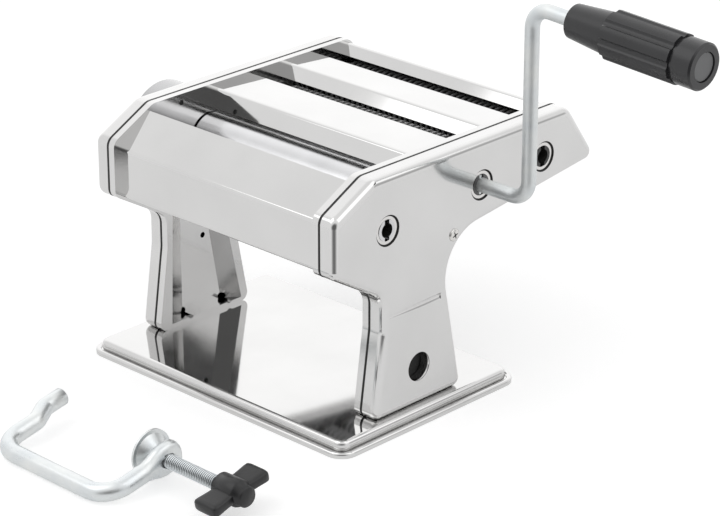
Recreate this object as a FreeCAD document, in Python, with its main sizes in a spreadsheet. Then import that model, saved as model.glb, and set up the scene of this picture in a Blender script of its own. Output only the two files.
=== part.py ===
import FreeCAD, Part
import math
import os
import re

from FreeCAD import Placement, Rotation, Vector

# Hand-cranked pasta roller machine with a smooth roller pair, two cutter pairs and a table clamp.
# Frame: X across the rollers (+X is the crank side), -Y is the front, +Z up.
# The origin is the middle of the base's underside. Lengths are in millimetres.

doc = FreeCAD.newDocument("pasta_roller_machine")
sheet = doc.addObject("Spreadsheet::Sheet", "Sizes")

SIZES = (
    ("roller_length", 150.0, "working length of every roller"),
    ("roller_play", 1.0, "gap between a roller's end and an inner side plate"),
    ("wall", 1.2, "thickness of the pressed side sheets"),
    ("plate_depth", 4.5, "depth of an inner plate with its rim"),
    ("seam", 0.9, "dark seam between an inner plate's rim and its cover"),
    ("cover_depth", 10.4, "depth of an outer cover"),
    ("cover_round", 4.2, "rounding of a cover's outer edge"),
    ("base_length", 200.0, "base across the rollers"),
    ("base_breadth", 140.0, "base front to rear"),
    ("base_corner", 10.0, "base corner radius"),
    ("base_rim", 1.8, "thickness of the base's folded rim"),
    ("base_flange", 4.0, "width of the base's rim"),
    ("base_height", 8.0, "top of the base"),
    ("base_round", 2.5, "rounding of the base's upper edge"),
    ("bottom_sheet", 1.0, "thickness of the base's bottom plate"),
    ("side_front", -67.0, "front edge of the sides"),
    ("chin_top", 99.7, "foot of the front edge"),
    ("brow_low", 131.2, "head of the front edge"),
    ("side_top", 146.5, "top edge of the sides"),
    ("brow_rear", -37.4, "start of the top edge"),
    ("tail_front", 117.0, "end of the top edge"),
    ("tail_rear", 141.5, "rear tip of the head"),
    ("tail_low", 111.5, "height of the rear tip"),
    ("throat_back", 14.8, "corner behind the leg, under the head"),
    ("throat_high", 96.5, "height of that corner"),
    ("foot_rear", 32.3, "rear end of the leg's foot"),
    ("foot_front", -37.0, "front end of the leg's foot"),
    ("shin_front", -29.8, "front edge of the upper leg"),
    ("knee_high", 58.0, "height of the bend in the leg's front edge"),
    ("chin_high", 77.7, "corner before the leg, under the head"),
    ("corner_foot", 4.8, "radius at the foot"),
    ("corner_front", 6.0, "radius at the front corners"),
    ("corner_top", 8.0, "radius at the top corners"),
    ("corner_tail", 5.0, "radius at the rear tip"),
    ("corner_throat", 27.0, "radius behind the leg"),
    ("corner_knee", 20.0, "radius at the leg's bend"),
    ("corner_chin", 10.0, "radius before the leg"),
    ("crease_high", 66.4, "crease across a cover's leg"),
    ("crease_front", -26.0, "front end of the crease, where it fades"),
    ("crease_rear", 14.0, "rear end of the crease"),
    ("crease_radius", 3.0, "section of the crease"),
    ("crease_deep", 0.65, "depth of the crease at its rear end"),
    ("crease_faint", 0.1, "depth of the crease at its front end"),
    ("pan_depth", 7.5, "outward pan pressed into an inner plate's leg"),
    ("pan_lift", 1.5, "foot of the pan above the base"),
    ("pan_top", 84.0, "head of the pan"),
    ("pan_foot_front", -30.0, "front edge of the pan at its foot"),
    ("pan_head_front", -27.0, "front edge of the pan at its head"),
    ("pan_crease", -13.0, "front crease of the pan"),
    ("pan_foot_crease", 17.0, "rear crease of the pan at its foot"),
    ("pan_head_crease", 4.0, "rear crease of the pan at its head"),
    ("pan_foot_rear", 28.0, "rear edge of the pan at its foot"),
    ("pan_head_rear", 12.0, "rear edge of the pan at its head"),
    ("relief", 2.3, "radius of the relief holes at the creases' feet"),
    ("relief_high", 4.0, "relief holes above the base"),
    ("leg_hole_y", 4.0, "small hole in the pan, front to rear"),
    ("leg_hole_z", 54.0, "height of that hole"),
    ("leg_hole", 1.7, "radius of that hole"),
    ("panel_inset", 5.0, "front panel behind the sides' front edge"),
    ("panel_low", 98.5, "lower bend of the front panel"),
    ("panel_lip", 7.0, "depth of the lip under the front panel"),
    ("panel_drop", 2.5, "fall of that lip"),
    ("panel_bend", 126.5, "bend between the front panel's face and slope"),
    ("panel_reach", 26.0, "upper edge of the front panel behind the sides' front edge"),
    ("panel_sunk", 3.2, "upper edge of the front panel below the sides' top"),
    ("guide_sunk", 2.5, "guide sheets below the sides' top"),
    ("guide_fall", 1.0, "fall of a guide sheet towards its cutter"),
    ("front_guide_back", 3.5, "front guide's bend behind the rear smooth roller"),
    ("front_guide_end", 4.6, "front guide's end before the driven middle cutter"),
    ("front_guide_nose", 10.0, "height of the front guide's nose"),
    ("front_guide_lean", 4.0, "lean of that nose"),
    ("rear_guide_back", 0.9, "rear guide's bend behind the second middle cutter"),
    ("rear_guide_end", 4.1, "rear guide's end before the driven rear cutter"),
    ("rear_guide_nose", 7.0, "height of the rear guide's nose"),
    ("rear_guide_lean", 5.5, "lean of that nose"),
    ("rear_inset", 2.0, "rear panel's upper bend before the end of the top edge"),
    ("rear_sunk", 0.5, "rear panel's upper bend below the sides' top"),
    ("rear_nose", 7.0, "height of the rear panel's nose"),
    ("rear_lean", 6.0, "lean of that nose"),
    ("rear_back", 2.5, "rear panel's lower bend before the sides' rear tip"),
    ("rear_lift", 2.1, "that bend above the rear tip"),
    ("rear_lip", 10.0, "depth of the lip under the rear panel"),
    ("rear_drop", 1.6, "fall of that lip"),
    ("sheet_wall", 1.0, "thickness of the panels and guide sheets"),
    ("sheet_bend", 1.5, "inner bend radius of the panels and guide sheets"),
    ("roller_radius", 14.25, "smooth roller"),
    ("roller_front", -27.3, "axis of the front smooth roller"),
    ("roller_high", 116.0, "height of that axis"),
    ("nip_open", 3.3, "gap between the smooth rollers at the widest setting"),
    ("throw", 1.7, "offset of the eccentric that carries the rear roller"),
    ("throw_start", 30.0, "angle of the offset above +Y at the widest setting"),
    ("journal", 6.0, "radius of the roller journals"),
    ("running", 0.05, "radial clearance of every running fit"),
    ("bush_wall", 2.4, "wall of the shaft bushes"),
    ("bush_length", 3.4, "length of the shaft bushes"),
    ("socket_radius", 4.05, "crank socket bore"),
    ("socket_depth", 14.0, "depth of a crank socket"),
    ("socket_slot", 3.4, "slot for the crank's cross pin"),
    ("slot_depth", 3.6, "depth of that slot"),
    ("shaft_sunk", 0.6, "how far a driven shaft's end stands inside the cover's face"),
    ("ring_radius", 7.7, "socket ring in its hole"),
    ("ring_hole", 8.7, "hole in the cover round a socket ring"),
    ("ring_sunk", 0.9, "how far a socket ring lies inside the cover's face"),
    ("ring_length", 3.6, "length of a socket ring"),
    ("ring_flange", 10.5, "flange of a socket ring behind the cover"),
    ("middle_axis", 45.6, "axis of the driven middle cutter"),
    ("middle_high", 120.9, "height of that axis"),
    ("rear_axis", 95.6, "axis of the driven rear cutter"),
    ("rear_high", 123.3, "height of that axis"),
    ("cutter_spacing", 20.0, "distance between the axes of a cutter pair"),
    ("cutter_radius", 10.4, "radius of the cutter discs"),
    ("cutter_core", 8.6, "radius at the bottom of a cutter's grooves"),
    ("middle_pitch", 4.13, "disc to disc on the middle cutters"),
    ("middle_disc", 1.75, "disc width on the middle cutters"),
    ("rear_pitch", 4.13, "disc to disc on the rear cutters"),
    ("rear_disc", 1.55, "disc width on the rear cutters"),
    ("gear_play", 0.2, "gap between a shaft bush and its gear"),
    ("backlash", 0.5, "thinning of the gear teeth"),
    ("gear_length", 6.0, "face width of the gears"),
    ("roller_teeth", 12.0, "teeth of a smooth roller's gear"),
    ("roller_module", 2.4, "tooth size of a smooth roller's gear"),
    ("cutter_teeth", 10.0, "teeth of a cutter's gear"),
    ("cutter_module", 2.0, "tooth size of a cutter's gear"),
    ("dedendum", 1.2, "depth of a gear's gaps below its pitch circle, in tooth sizes"),
    ("tooth_foot", 0.62, "width of a gear tooth at its foot, in pitches"),
    ("tooth_crest", 0.26, "width of a gear tooth at its crest, in pitches"),
    ("core_radius", 5.0, "eccentric part of the regulator shaft"),
    ("yoke_gap", 0.2, "clearance of that part in the sleeves' slots"),
    ("sleeve_radius", 7.8, "sleeves that carry the rear roller"),
    ("sleeve_length", 12.0, "length of those sleeves"),
    ("drive_radius", 9.5, "journal of the rear roller that carries its gear"),
    ("shaft_left", 4.5, "radius of the regulator shaft at the knob"),
    ("shaft_right", 4.0, "radius of the regulator shaft at its far end"),
    ("knob_radius", 25.5, "regulator knob"),
    ("knob_length", 18.0, "depth of the regulator knob"),
    ("knob_gap", 5.2, "gap between the left cover and the knob"),
    ("knob_wall", 2.5, "wall of the regulator knob"),
    ("knob_boss", 9.0, "boss of the regulator knob"),
    ("knob_edge", 1.5, "chamfer of the regulator knob"),
    ("end_play", 0.3, "end clearance of the shafts and of the grip"),
    ("bush_proud", 0.6, "how far the regulator's bush stands out of the left cover"),
    ("tie_y", 23.8, "tie rod, front to rear"),
    ("tie_z", 98.5, "height of the tie rod"),
    ("tie_radius", 3.0, "tie rod"),
    ("tie_proud", 0.6, "how far the tie rod's ends stand out of the covers"),
    ("scraper_gap", 0.3, "gap between a scraper and its roller"),
    ("scraper_angle", 30.0, "a scraper's edge from straight below its roller"),
    ("scraper_run", 5.1, "outward run of a scraper's blade"),
    ("scraper_drop", 4.8, "fall of a scraper's blade"),
    ("scraper_flange", 2.2, "flange along a scraper"),
    ("comb_sheet", 1.0, "thickness of the combs and scrapers"),
    ("comb_reach", 4.5, "depth of a comb behind its fingers"),
    ("comb_drop", 3.0, "a comb lies this far below its cutter's axis"),
    ("comb_gap", 0.4, "gap round a comb's fingers"),
    ("crank_radius", 4.0, "crank rod"),
    ("crank_reach", 32.7, "crank arm beyond the right cover"),
    ("crank_throw", 107.5, "crank arm's length up to the grip's axis"),
    ("grip_tilt", 3.2, "fall of the grip's axis away from the arm"),
    ("crank_bend", 11.0, "bend radius of the crank rod"),
    ("socket_play", 1.0, "gap between the crank's end and the floor of its socket"),
    ("pin_radius", 1.5, "crank's cross pin"),
    ("pin_length", 11.0, "length of that pin"),
    ("collar_radius", 6.8, "collar that keeps the grip on the crank rod"),
    ("collar_length", 4.0, "length of that collar"),
    ("grip_out", 61.2, "grip's inner end beyond the right cover"),
    ("grip_length", 83.0, "length of the grip"),
    ("grip_nose", 9.3, "grip at its inner end"),
    ("grip_waist", 11.4, "grip before its fluted part"),
    ("grip_radius", 13.2, "grip over its flutes' ridges"),
    ("grip_edge", 1.0, "chamfer at the grip's ends"),
    ("nose_length", 24.5, "length of the grip's plain nose"),
    ("flute_end", 69.0, "end of the fluted part from the grip's inner end"),
    ("groove_width", 2.5, "groove behind the fluted part"),
    ("groove_radius", 11.4, "radius at the floor of that groove"),
    ("heel_radius", 12.5, "grip behind the groove"),
    ("grip_flutes", 8.0, "flutes round the grip"),
    ("flute_depth", 1.2, "depth of a flute"),
    ("flute_radius", 2.6, "section of a flute"),
    ("rod_in_grip", 78.5, "crank rod inside its grip"),
    ("cap_radius", 8.0, "cap in the grip's end"),
    ("cap_thick", 3.0, "thickness of that cap"),
    ("cap_sunk", 0.8, "how far that cap lies inside the grip's end"),
    ("cap_edge", 0.6, "chamfer of that cap"),
    ("clamp_rod", 5.0, "radius of the clamp's rod"),
    ("clamp_y", -188.0, "clamp's spine, where it lies before the machine"),
    ("clamp_tilt", 11.4, "tilt of the clamp as it lies on its disc"),
    ("clamp_hook", -36.5, "hooked arm of the clamp"),
    ("clamp_eye", 49.0, "arm with the threaded eye"),
    ("clamp_reach", 51.0, "length of the hooked arm"),
    ("clamp_bend", 14.0, "bend radius of the clamp's rod"),
    ("clamp_joggle", 6.0, "sideways step of the hooked arm's end"),
    ("clamp_kink", 7.0, "bend radius of that step"),
    ("eye_reach", 40.5, "distance from the spine to the screw"),
    ("clamp_tip", 13.0, "straight end of the hooked arm"),
    ("clamp_slant", 11.0, "length over which the hooked arm steps aside"),
    ("eye_side", 20.0, "side of the flattened, threaded eye"),
    ("eye_corner", 5.0, "corner radius of the eye"),
    ("eye_length", 8.0, "thickness of the eye"),
    ("eye_margin", 2.5, "metal between the rod's end and the thread"),
    ("screw_radius", 4.0, "clamp screw"),
    ("screw_length", 55.4, "length of the clamp screw"),
    ("disc_radius", 13.0, "pressure disc"),
    ("disc_depth", 6.0, "depth of the pressure disc's cone"),
    ("disc_wall", 1.4, "wall of the pressure disc"),
    ("disc_rim", 2.0, "flat rim of the pressure disc"),
    ("disc_gap", 1.0, "gap between the pressure disc and the eye"),
    ("disc_neck", 2.0, "wall of the pressure disc's neck"),
    ("screw_seat", 2.0, "depth of the screw's tip in the pressure disc"),
    ("tip_gap", 0.1, "clearance at the screw's tip"),
    ("wing_span", 46.0, "wing knob from tip to tip"),
    ("wing_breadth", 20.0, "breadth of a wing"),
    ("wing_thick", 8.0, "thickness of a wing"),
    ("wing_corner", 3.0, "corner radius of a wing"),
    ("wing_round", 1.6, "rounding along a wing's edges"),
    ("wing_set", 3.0, "wings behind the hub's inner end"),
    ("wing_bore", 12.0, "depth of the screw in the wing knob"),
    ("hub_radius", 8.6, "hub of the wing knob"),
    ("hub_length", 21.0, "length of that hub"),
    ("boss_radius", 6.4, "boss at the hub's outer end"),
    ("boss_length", 25.5, "hub with that boss"),
    ("hole_clamp_y", -2.7, "clamp hole, front to rear"),
    ("hole_clamp_z", 30.3, "height of the clamp hole"),
    ("hole_clamp", 8.25, "radius of the clamp hole"),
)

NEAR = 0.01
LEAST_CORNER = 0.3

NAMES = set()
for row, (alias, number, meaning) in enumerate(SIZES, start=1):
    sheet.set("A%d" % row, meaning)
    sheet.set("B%d" % row, str(number))
    sheet.setAlias("B%d" % row, alias)
    NAMES.add(alias)
doc.recompute()


def size(alias):
    """Number in the sheet."""
    return float(sheet.get(alias))


def bind(thing, **properties):
    """Bind properties to expressions in which a bare name is a cell of the sheet."""
    for name, expression in properties.items():
        words = re.sub(r"[a-z_]+", in_sheet, expression)
        thing.setExpression(name.replace("__", "."), words)


def in_sheet(word):
    """Name of a cell as an expression calls it, and any other word as it is."""
    return "Sizes." + word.group() if word.group() in NAMES else word.group()


NODES = []


def node(thing, label):
    """Register a finished sub-part under its own name."""
    thing.Label = label
    NODES.append(thing)
    return thing


# Places across the machine that follow from the driving sizes, as expressions and as numbers.
X_END = "(roller_length / 2)"
X_HALF = "(roller_length / 2 + roller_play)"
X_SEAM_IN = "(roller_length / 2 + roller_play + plate_depth)"
X_SEAM_OUT = "(roller_length / 2 + roller_play + plate_depth + seam)"
X_OUTER = "(roller_length / 2 + roller_play + plate_depth + seam + cover_depth)"
X_GEAR = "(roller_length / 2 + roller_play + bush_length + gear_play)"
X_GRIP = "(roller_length / 2 + roller_play + plate_depth + seam + cover_depth + grip_out)"
X_SHAFT = "(roller_length / 2 + roller_play + plate_depth + seam + cover_depth - shaft_sunk)"
WIDTH = "(roller_length + 2 * roller_play)"
END = size("roller_length") / 2
HALF = END + size("roller_play")
OUTER = HALF + size("plate_depth") + size("seam") + size("cover_depth")
GEAR_END = HALF + size("bush_length") + size("gear_play") + size("gear_length")
SHAFT_END = OUTER - size("shaft_sunk")

# Places of the shafts. The rear smooth roller slides towards the front one while its eccentric turns.
Y_REAR = "(roller_front + 2 * roller_radius + nip_open)"
Y_KNOB = "(roller_front + 2 * roller_radius + nip_open - throw * cos(throw_start))"
Z_CORE = "(roller_high - throw * (1 - sin(throw_start)) / 2)"
Z_KNOB = "(roller_high - throw * (1 + sin(throw_start)) / 2)"
THROW_Y = size("throw") * math.cos(math.radians(size("throw_start")))
THROW_Z = size("throw") * math.sin(math.radians(size("throw_start")))
ROLLER_REAR = size("roller_front") + 2 * size("roller_radius") + size("nip_open")
REGULATOR_Y = ROLLER_REAR - THROW_Y
REGULATOR_Z = size("roller_high") - (size("throw") + THROW_Z) / 2
CORE_RISE = (size("throw") - THROW_Z) / 2
CLOSEST = ROLLER_REAR - 2 * THROW_Y - size("roller_front")


# Outlines.

def rounded(points):
    """Closed outline through corner points (a, b, radius), each corner turned by an arc."""
    corners = []
    for index, (a, b, radius) in enumerate(points):
        here = Vector(a, b, 0)
        back = Vector(*points[index - 1][:2], 0) - here
        ahead = Vector(*points[(index + 1) % len(points)][:2], 0) - here
        back.normalize()
        ahead.normalize()
        half = back.getAngle(ahead) / 2
        reach = radius / math.tan(half)
        inward = (back + ahead).normalize() if radius else Vector()
        middle = here + inward * (radius / math.sin(half) - radius)
        corners.append((here + back * reach, middle, here + ahead * reach, radius))
    edges = []
    for index, (start, middle, end, radius) in enumerate(corners):
        edges.append(Part.LineSegment(corners[index - 1][2], start))
        if radius:
            edges.append(Part.Arc(start, middle, end))
    return edges


def inset(points, distance):
    """Corner points of a counter-clockwise outline, moved inward by a distance."""
    moved = []
    for index, (a, b, radius) in enumerate(points):
        here = Vector(a, b, 0)
        arriving = here - Vector(*points[index - 1][:2], 0)
        leaving = Vector(*points[(index + 1) % len(points)][:2], 0) - here
        arriving.normalize()
        leaving.normalize()
        first = Vector(-arriving.y, arriving.x, 0)
        second = Vector(-leaving.y, leaving.x, 0)
        corner = here + (first + second) * (distance / (1 + first.dot(second)))
        convex = arriving.cross(leaving).z > 0
        moved.append((corner.x, corner.y, max(radius - distance, LEAST_CORNER) if convex else radius + distance))
    return moved


def folded(path, thickness, bend):
    """Corner points of a bent sheet: the path is one face, and the sheet lies on its left."""
    count = len(path)
    near = []
    far = []
    for index, (a, b) in enumerate(path):
        here = Vector(a, b, 0)
        arriving = here - Vector(*path[index - 1], 0) if index else None
        leaving = Vector(*path[index + 1], 0) - here if index < count - 1 else None
        first = (arriving or leaving).normalize()
        second = (leaving or arriving).normalize()
        first_side = Vector(-first.y, first.x, 0)
        second_side = Vector(-second.y, second.x, 0)
        step = (first_side + second_side) * (thickness / (1 + first_side.dot(second_side)))
        turn = first.cross(second).z
        inner = bend if abs(turn) > NEAR else 0
        outer = bend + thickness if abs(turn) > NEAR else 0
        near.append((a, b, outer if turn > 0 else inner))
        far.append((a + step.x, b + step.y, inner if turn > 0 else outer))
    return near + far[::-1]


def rectangle(length, breadth, radius):
    """Corner points of a rectangle about the origin."""
    a = length / 2
    b = breadth / 2
    return [(-a, -b, radius), (a, -b, radius), (a, b, radius), (-a, b, radius)]


# Features.

def origin_part(body, role):
    """Origin plane or axis of a body."""
    return next(feature for feature in body.Origin.OriginFeatures if feature.Role == role)


def sketch_on(body, role, edges, offset="0"):
    """Sketch on an origin plane of its body, lifted along the plane's normal."""
    sketch = body.newObject("Sketcher::SketchObject", body.Name + "_sketch")
    sketch.AttachmentSupport = [(origin_part(body, role), "")]
    sketch.MapMode = "FlatFace"
    bind(sketch, AttachmentOffset__Base__z=offset)
    sketch.addGeometry(edges, False)
    return sketch


def new_body(name):
    return doc.addObject("PartDesign::Body", name)


def pad(body, role, edges, length, offset="0"):
    feature = body.newObject("PartDesign::Pad", body.Name + "_pad")
    feature.Profile = sketch_on(body, role, edges, offset)
    bind(feature, Length=length)
    return feature


def pocket(body, role, edges, depth, offset="0", forward=False):
    """Cut along the plane's normal when forward, and against it otherwise."""
    doc.recompute()
    before = body.Shape.Volume
    feature = body.newObject("PartDesign::Pocket", body.Name + "_pocket")
    feature.Profile = sketch_on(body, role, edges, offset)
    feature.Reversed = forward
    bind(feature, Length=depth)
    doc.recompute()
    assert body.Shape.Volume < before, "a pocket of %s cuts nothing" % body.Name
    return feature


def round_edges(body, chosen, radius):
    """Fillet the edges of the body's present shape for which chosen(edge) is true."""
    doc.recompute()
    tip = body.Tip
    names = ["Edge%d" % (index + 1) for index, edge in enumerate(tip.Shape.Edges) if chosen(edge)]
    feature = body.newObject("PartDesign::Fillet", body.Name + "_fillet")
    feature.Base = (tip, names)
    bind(feature, Radius=radius)
    doc.recompute()
    return feature


def circle(y, z, radius):
    return Part.Circle(Vector(y, z, 0), Vector(0, 0, 1), radius)


def polygon(points):
    """Closed outline of straight edges."""
    corners = [Vector(a, b, 0) for a, b in points]
    return [Part.LineSegment(corners[i - 1], corners[i]) for i in range(len(corners))]


def loft(body, kind, foot, head, low, high):
    """Ruled loft between two outlines on planes at two heights, added to a body or cut out of it."""
    feature = body.newObject("PartDesign::" + kind, body.Name + "_loft")
    feature.Profile = sketch_on(body, "XY_Plane", foot, low)
    feature.Sections = [sketch_on(body, "XY_Plane", head, high)]
    feature.Ruled = True
    return feature


def turned(name, profile, y="0", z="0"):
    """Solid of revolution about X from a closed profile of (x, radius) points."""
    body = new_body(name)
    sketch = sketch_on(body, "XY_Plane", polygon(profile))
    feature = body.newObject("PartDesign::Revolution", name + "_turn")
    feature.Profile = sketch
    feature.ReferenceAxis = (sketch, ["H_Axis"])
    feature.Angle = 360
    bind(body, Placement__Base__y=y, Placement__Base__z=z)
    return body


def cylinder(name, radius, length, x, y, z):
    """Cylinder along +X."""
    thing = doc.addObject("Part::Cylinder", name)
    thing.Placement = Placement(Vector(), Rotation(Vector(0, 1, 0), 90))
    bind(thing, Radius=radius, Height=length)
    bind(thing, Placement__Base__x=x, Placement__Base__y=y, Placement__Base__z=z)
    return thing


def box(name, length, breadth, height, x, y, z):
    thing = doc.addObject("Part::Box", name)
    bind(thing, Length=length, Width=breadth, Height=height,
         Placement__Base__x=x, Placement__Base__y=y, Placement__Base__z=z)
    return thing


def cut(name, base, tool):
    thing = doc.addObject("Part::Cut", name)
    thing.Base = base
    thing.Tool = tool
    return thing


def fuse(name, things):
    thing = doc.addObject("Part::MultiFuse", name)
    thing.Shapes = things
    return thing


def group(name, things):
    """Like pieces that share one node as separate solids."""
    thing = doc.addObject("Part::Compound", name)
    thing.Links = things
    return thing


def ring(name, outer, inner, length, x, y, z):
    return cut(name, cylinder(name + "_outside", outer, length, x, y, z),
               cylinder(name + "_bore", inner, length, x, y, z))


MIDDLE_REAR = "(middle_axis + cutter_spacing)"
REAR_REAR = "(rear_axis + cutter_spacing)"
DRIVEN_SHAFTS = (("roller_front", "roller_high"), ("middle_axis", "middle_high"), ("rear_axis", "rear_high"))
FIXED_SHAFTS = DRIVEN_SHAFTS + ((MIDDLE_REAR, "middle_high"), (REAR_REAR, "rear_high"))
DRIVEN = [(size(y), size(z)) for y, z in DRIVEN_SHAFTS]
SPACED = [(y + size("cutter_spacing"), z) for y, z in DRIVEN[1:]]
BUSH = size("journal") + size("running") + size("bush_wall")


# Base: a pressed tray with a folded rim, closed by a flat bottom plate.

def make_base():
    tray = new_body("base")
    length = size("base_length")
    breadth = size("base_breadth")
    outside = rectangle(length, breadth, size("base_corner"))
    plateau = inset(outside, size("base_flange"))
    hollow = inset(plateau, size("wall"))
    pad(tray, "XY_Plane", rounded(outside), "base_rim")
    pad(tray, "XY_Plane", rounded(plateau), "base_height")
    top = size("base_height")
    round_edges(tray, lambda edge: edge.BoundBox.ZMin > top - NEAR, "base_round")
    pocket(tray, "XY_Plane", rounded(hollow), "base_height - wall", forward=True)
    node(tray, "base_plate")
    plate = new_body("bottom")
    pad(plate, "XY_Plane", rounded(hollow), "bottom_sheet")
    node(plate, "base_bottom_plate")


# Sides: an inner plate with an outward rim and an outer cover with an inward rim.

def side_outline():
    """Corner points of a side, counter-clockwise with Y to the right."""
    return [
        (size("side_front"), size("chin_top"), size("corner_front")),
        (size("shin_front"), size("chin_high"), size("corner_chin")),
        (size("shin_front"), size("knee_high"), size("corner_knee")),
        (size("foot_front"), size("base_height"), size("corner_foot")),
        (size("foot_rear"), size("base_height"), size("corner_foot")),
        (size("throat_back"), size("throat_high"), size("corner_throat")),
        (size("tail_rear"), size("tail_low"), size("corner_tail")),
        (size("tail_front"), size("side_top"), size("corner_top")),
        (size("brow_rear"), size("side_top"), size("corner_top")),
        (size("side_front"), size("brow_low"), size("corner_front")),
    ]


def pan(side, place, shift):
    """Outline of the pan in an inner plate's leg at its foot or its head, shifted towards the rollers."""
    near = side * (HALF - shift)
    far = side * (HALF + size("pan_depth") + size("wall") - shift)
    front = size("pan_%s_front" % place)
    crease = size("pan_%s_crease" % place)
    rear = size("pan_%s_rear" % place)
    return polygon([(near, front), (far, size("pan_crease")), (far, crease), (near, rear)])


def make_inner_plate(label, side, holes):
    """Side plate with an outward rim, a pan in its leg and relief holes at the creases' feet."""
    body = new_body(label + "_body")
    outline = side_outline()
    hollow = inset(outline, size("wall"))
    start = X_HALF if side > 0 else "-" + X_SEAM_IN
    rim = X_SEAM_IN if side > 0 else "-" + X_SEAM_IN
    inward = side < 0
    pad(body, "YZ_Plane", rounded(outline), "plate_depth", start)
    pocket(body, "YZ_Plane", rounded(hollow), "plate_depth - wall", rim, inward)
    pocket(body, "YZ_Plane", [circle(*hole) for hole in holes], "plate_depth", rim, inward)
    foot = "base_height + pan_lift"
    loft(body, "AdditiveLoft", pan(side, "foot", 0), pan(side, "head", 0), foot, "pan_top")
    wall = size("wall")
    loft(body, "SubtractiveLoft", pan(side, "foot", wall), pan(side, "head", wall), foot + " + wall", "pan_top - wall")
    low = size("base_height") + size("relief_high")
    reliefs = [circle(size(crease), low, size("relief")) for crease in ("pan_crease", "pan_foot_crease")]
    leg_hole = circle(size("leg_hole_y"), size("leg_hole_z"), size("leg_hole"))
    behind = X_HALF + " + pan_depth + 2 * wall"
    pocket(body, "YZ_Plane", reliefs + [leg_hole], "pan_depth + 3 * wall",
           behind if side > 0 else "-(" + behind + ")", inward)
    node(body, label)


def creased(name, cover, side):
    """Cut the crease that runs across a cover's leg and fades towards the front."""
    middle = OUTER + size("crease_radius")
    high = size("crease_high")
    start = Vector(side * (middle - size("crease_faint")), size("crease_front"), high)
    stop = Vector(side * (middle - size("crease_deep")), size("crease_rear"), high)
    tool = doc.addObject("Part::Cylinder", name + "_crease")
    tool.Placement = Placement(start, Rotation(Vector(0, 0, 1), stop - start))
    tool.Height = (stop - start).Length
    bind(tool, Radius="crease_radius")
    return cut(name + "_creased", cover, tool)


def make_cover(label, side, holes):
    """Pressed cover with an inward rim and rounded edges."""
    body = new_body(label + "_body")
    outline = side_outline()
    hollow = inset(outline, size("wall"))
    start = X_SEAM_OUT if side > 0 else "-" + X_OUTER
    rim = X_SEAM_OUT if side > 0 else "-" + X_SEAM_OUT
    outward = side > 0
    face = side * OUTER
    floor = side * (OUTER - size("wall"))
    pad(body, "YZ_Plane", rounded(outline), "cover_depth", start)
    pocket(body, "YZ_Plane", rounded(hollow), "cover_depth - wall", rim, outward)
    round_edges(body, lambda edge: lies_at(edge, floor), "cover_round - wall")
    round_edges(body, lambda edge: lies_at(edge, face), "cover_round")
    pocket(body, "YZ_Plane", [circle(*hole) for hole in holes], "cover_depth", rim, outward)
    node(creased(label, body, side), label)


def lies_at(edge, x):
    """Whether an edge lies in the plane across the machine at x."""
    return max(abs(edge.BoundBox.XMin - x), abs(edge.BoundBox.XMax - x)) < NEAR


def make_sides():
    bushes = [(y, z, BUSH) for y, z in DRIVEN + SPACED]
    tie = (size("tie_y"), size("tie_z"), size("tie_radius"))
    clamp = (size("hole_clamp_y"), size("hole_clamp_z"), size("hole_clamp"))
    travel = size("drive_radius") + THROW_Y + size("comb_gap")
    regulator = (REGULATOR_Y, REGULATOR_Z, size("shaft_left") + size("running") + size("bush_wall"))
    make_inner_plate("right_inner_plate", 1, bushes + [tie, (REGULATOR_Y, size("roller_high"), travel)])
    make_inner_plate("left_inner_plate", -1, bushes + [tie, regulator])
    sockets = [(y, z, size("ring_hole")) for y, z in DRIVEN]
    make_cover("right_outer_cover", 1, sockets + [tie, clamp])
    make_cover("left_outer_cover", -1, [tie, clamp, regulator])


# Panels and guide sheets between the sides.

def make_sheet(label, path, thickness):
    """Bent sheet from side to side."""
    body = new_body(label + "_body")
    pad(body, "YZ_Plane", rounded(folded(path, thickness, size("sheet_bend"))), WIDTH, "-" + X_HALF)
    node(body, label)


def make_panels():
    front = size("side_front")
    top = size("side_top")
    wall = size("sheet_wall")
    face = front + size("panel_inset")
    low = size("panel_low")
    make_sheet("front_panel", [
        (front + size("panel_reach"), top - size("panel_sunk")),
        (face, size("panel_bend")),
        (face, low),
        (face + size("panel_lip"), low - size("panel_drop")),
    ], wall)
    mate = size("middle_axis") + size("cutter_spacing")
    make_guide("front_guide", ROLLER_REAR, size("middle_axis"))
    make_guide("rear_guide", mate, size("rear_axis"))
    head = size("tail_front") - size("rear_inset")
    ridge = top - size("rear_sunk")
    tail = size("tail_rear") - size("rear_back")
    foot = size("tail_low") + size("rear_lift")
    make_sheet("rear_panel", [
        (tail - size("rear_lip"), foot - size("rear_drop")),
        (tail, foot),
        (head, ridge),
        (head - size("rear_lean"), ridge - size("rear_nose")),
    ], wall)


def make_guide(name, behind, before):
    """Guide sheet from behind one roller to the next cutter, with a nose bent down at its front."""
    bend = behind + size(name + "_back")
    level = size("side_top") - size("guide_sunk")
    make_sheet(name + "_sheet", [
        (before - size(name + "_end"), level - size("guide_fall")),
        (bend, level),
        (bend - size(name + "_lean"), level - size(name + "_nose")),
    ], size("sheet_wall"))


# Smooth rollers.

def roller_profile(points):
    """Profile of a driven roller: journals, working length and the crank socket in its right end."""
    left = -HALF - size("bush_length")
    journal = size("journal")
    socket = size("socket_radius")
    floor = SHAFT_END - size("socket_depth")
    return ([(left, 0), (left, journal), (-END, journal)] + points +
            [(END, journal), (SHAFT_END, journal), (SHAFT_END, socket), (floor, socket), (floor, 0)])


def plain_profile(points):
    """Profile of a roller without a socket, ending behind its gear."""
    left = -HALF - size("bush_length")
    journal = size("journal")
    return ([(left, 0), (left, journal), (-END, journal)] + points +
            [(END, journal), (GEAR_END, journal), (GEAR_END, 0)])


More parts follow.
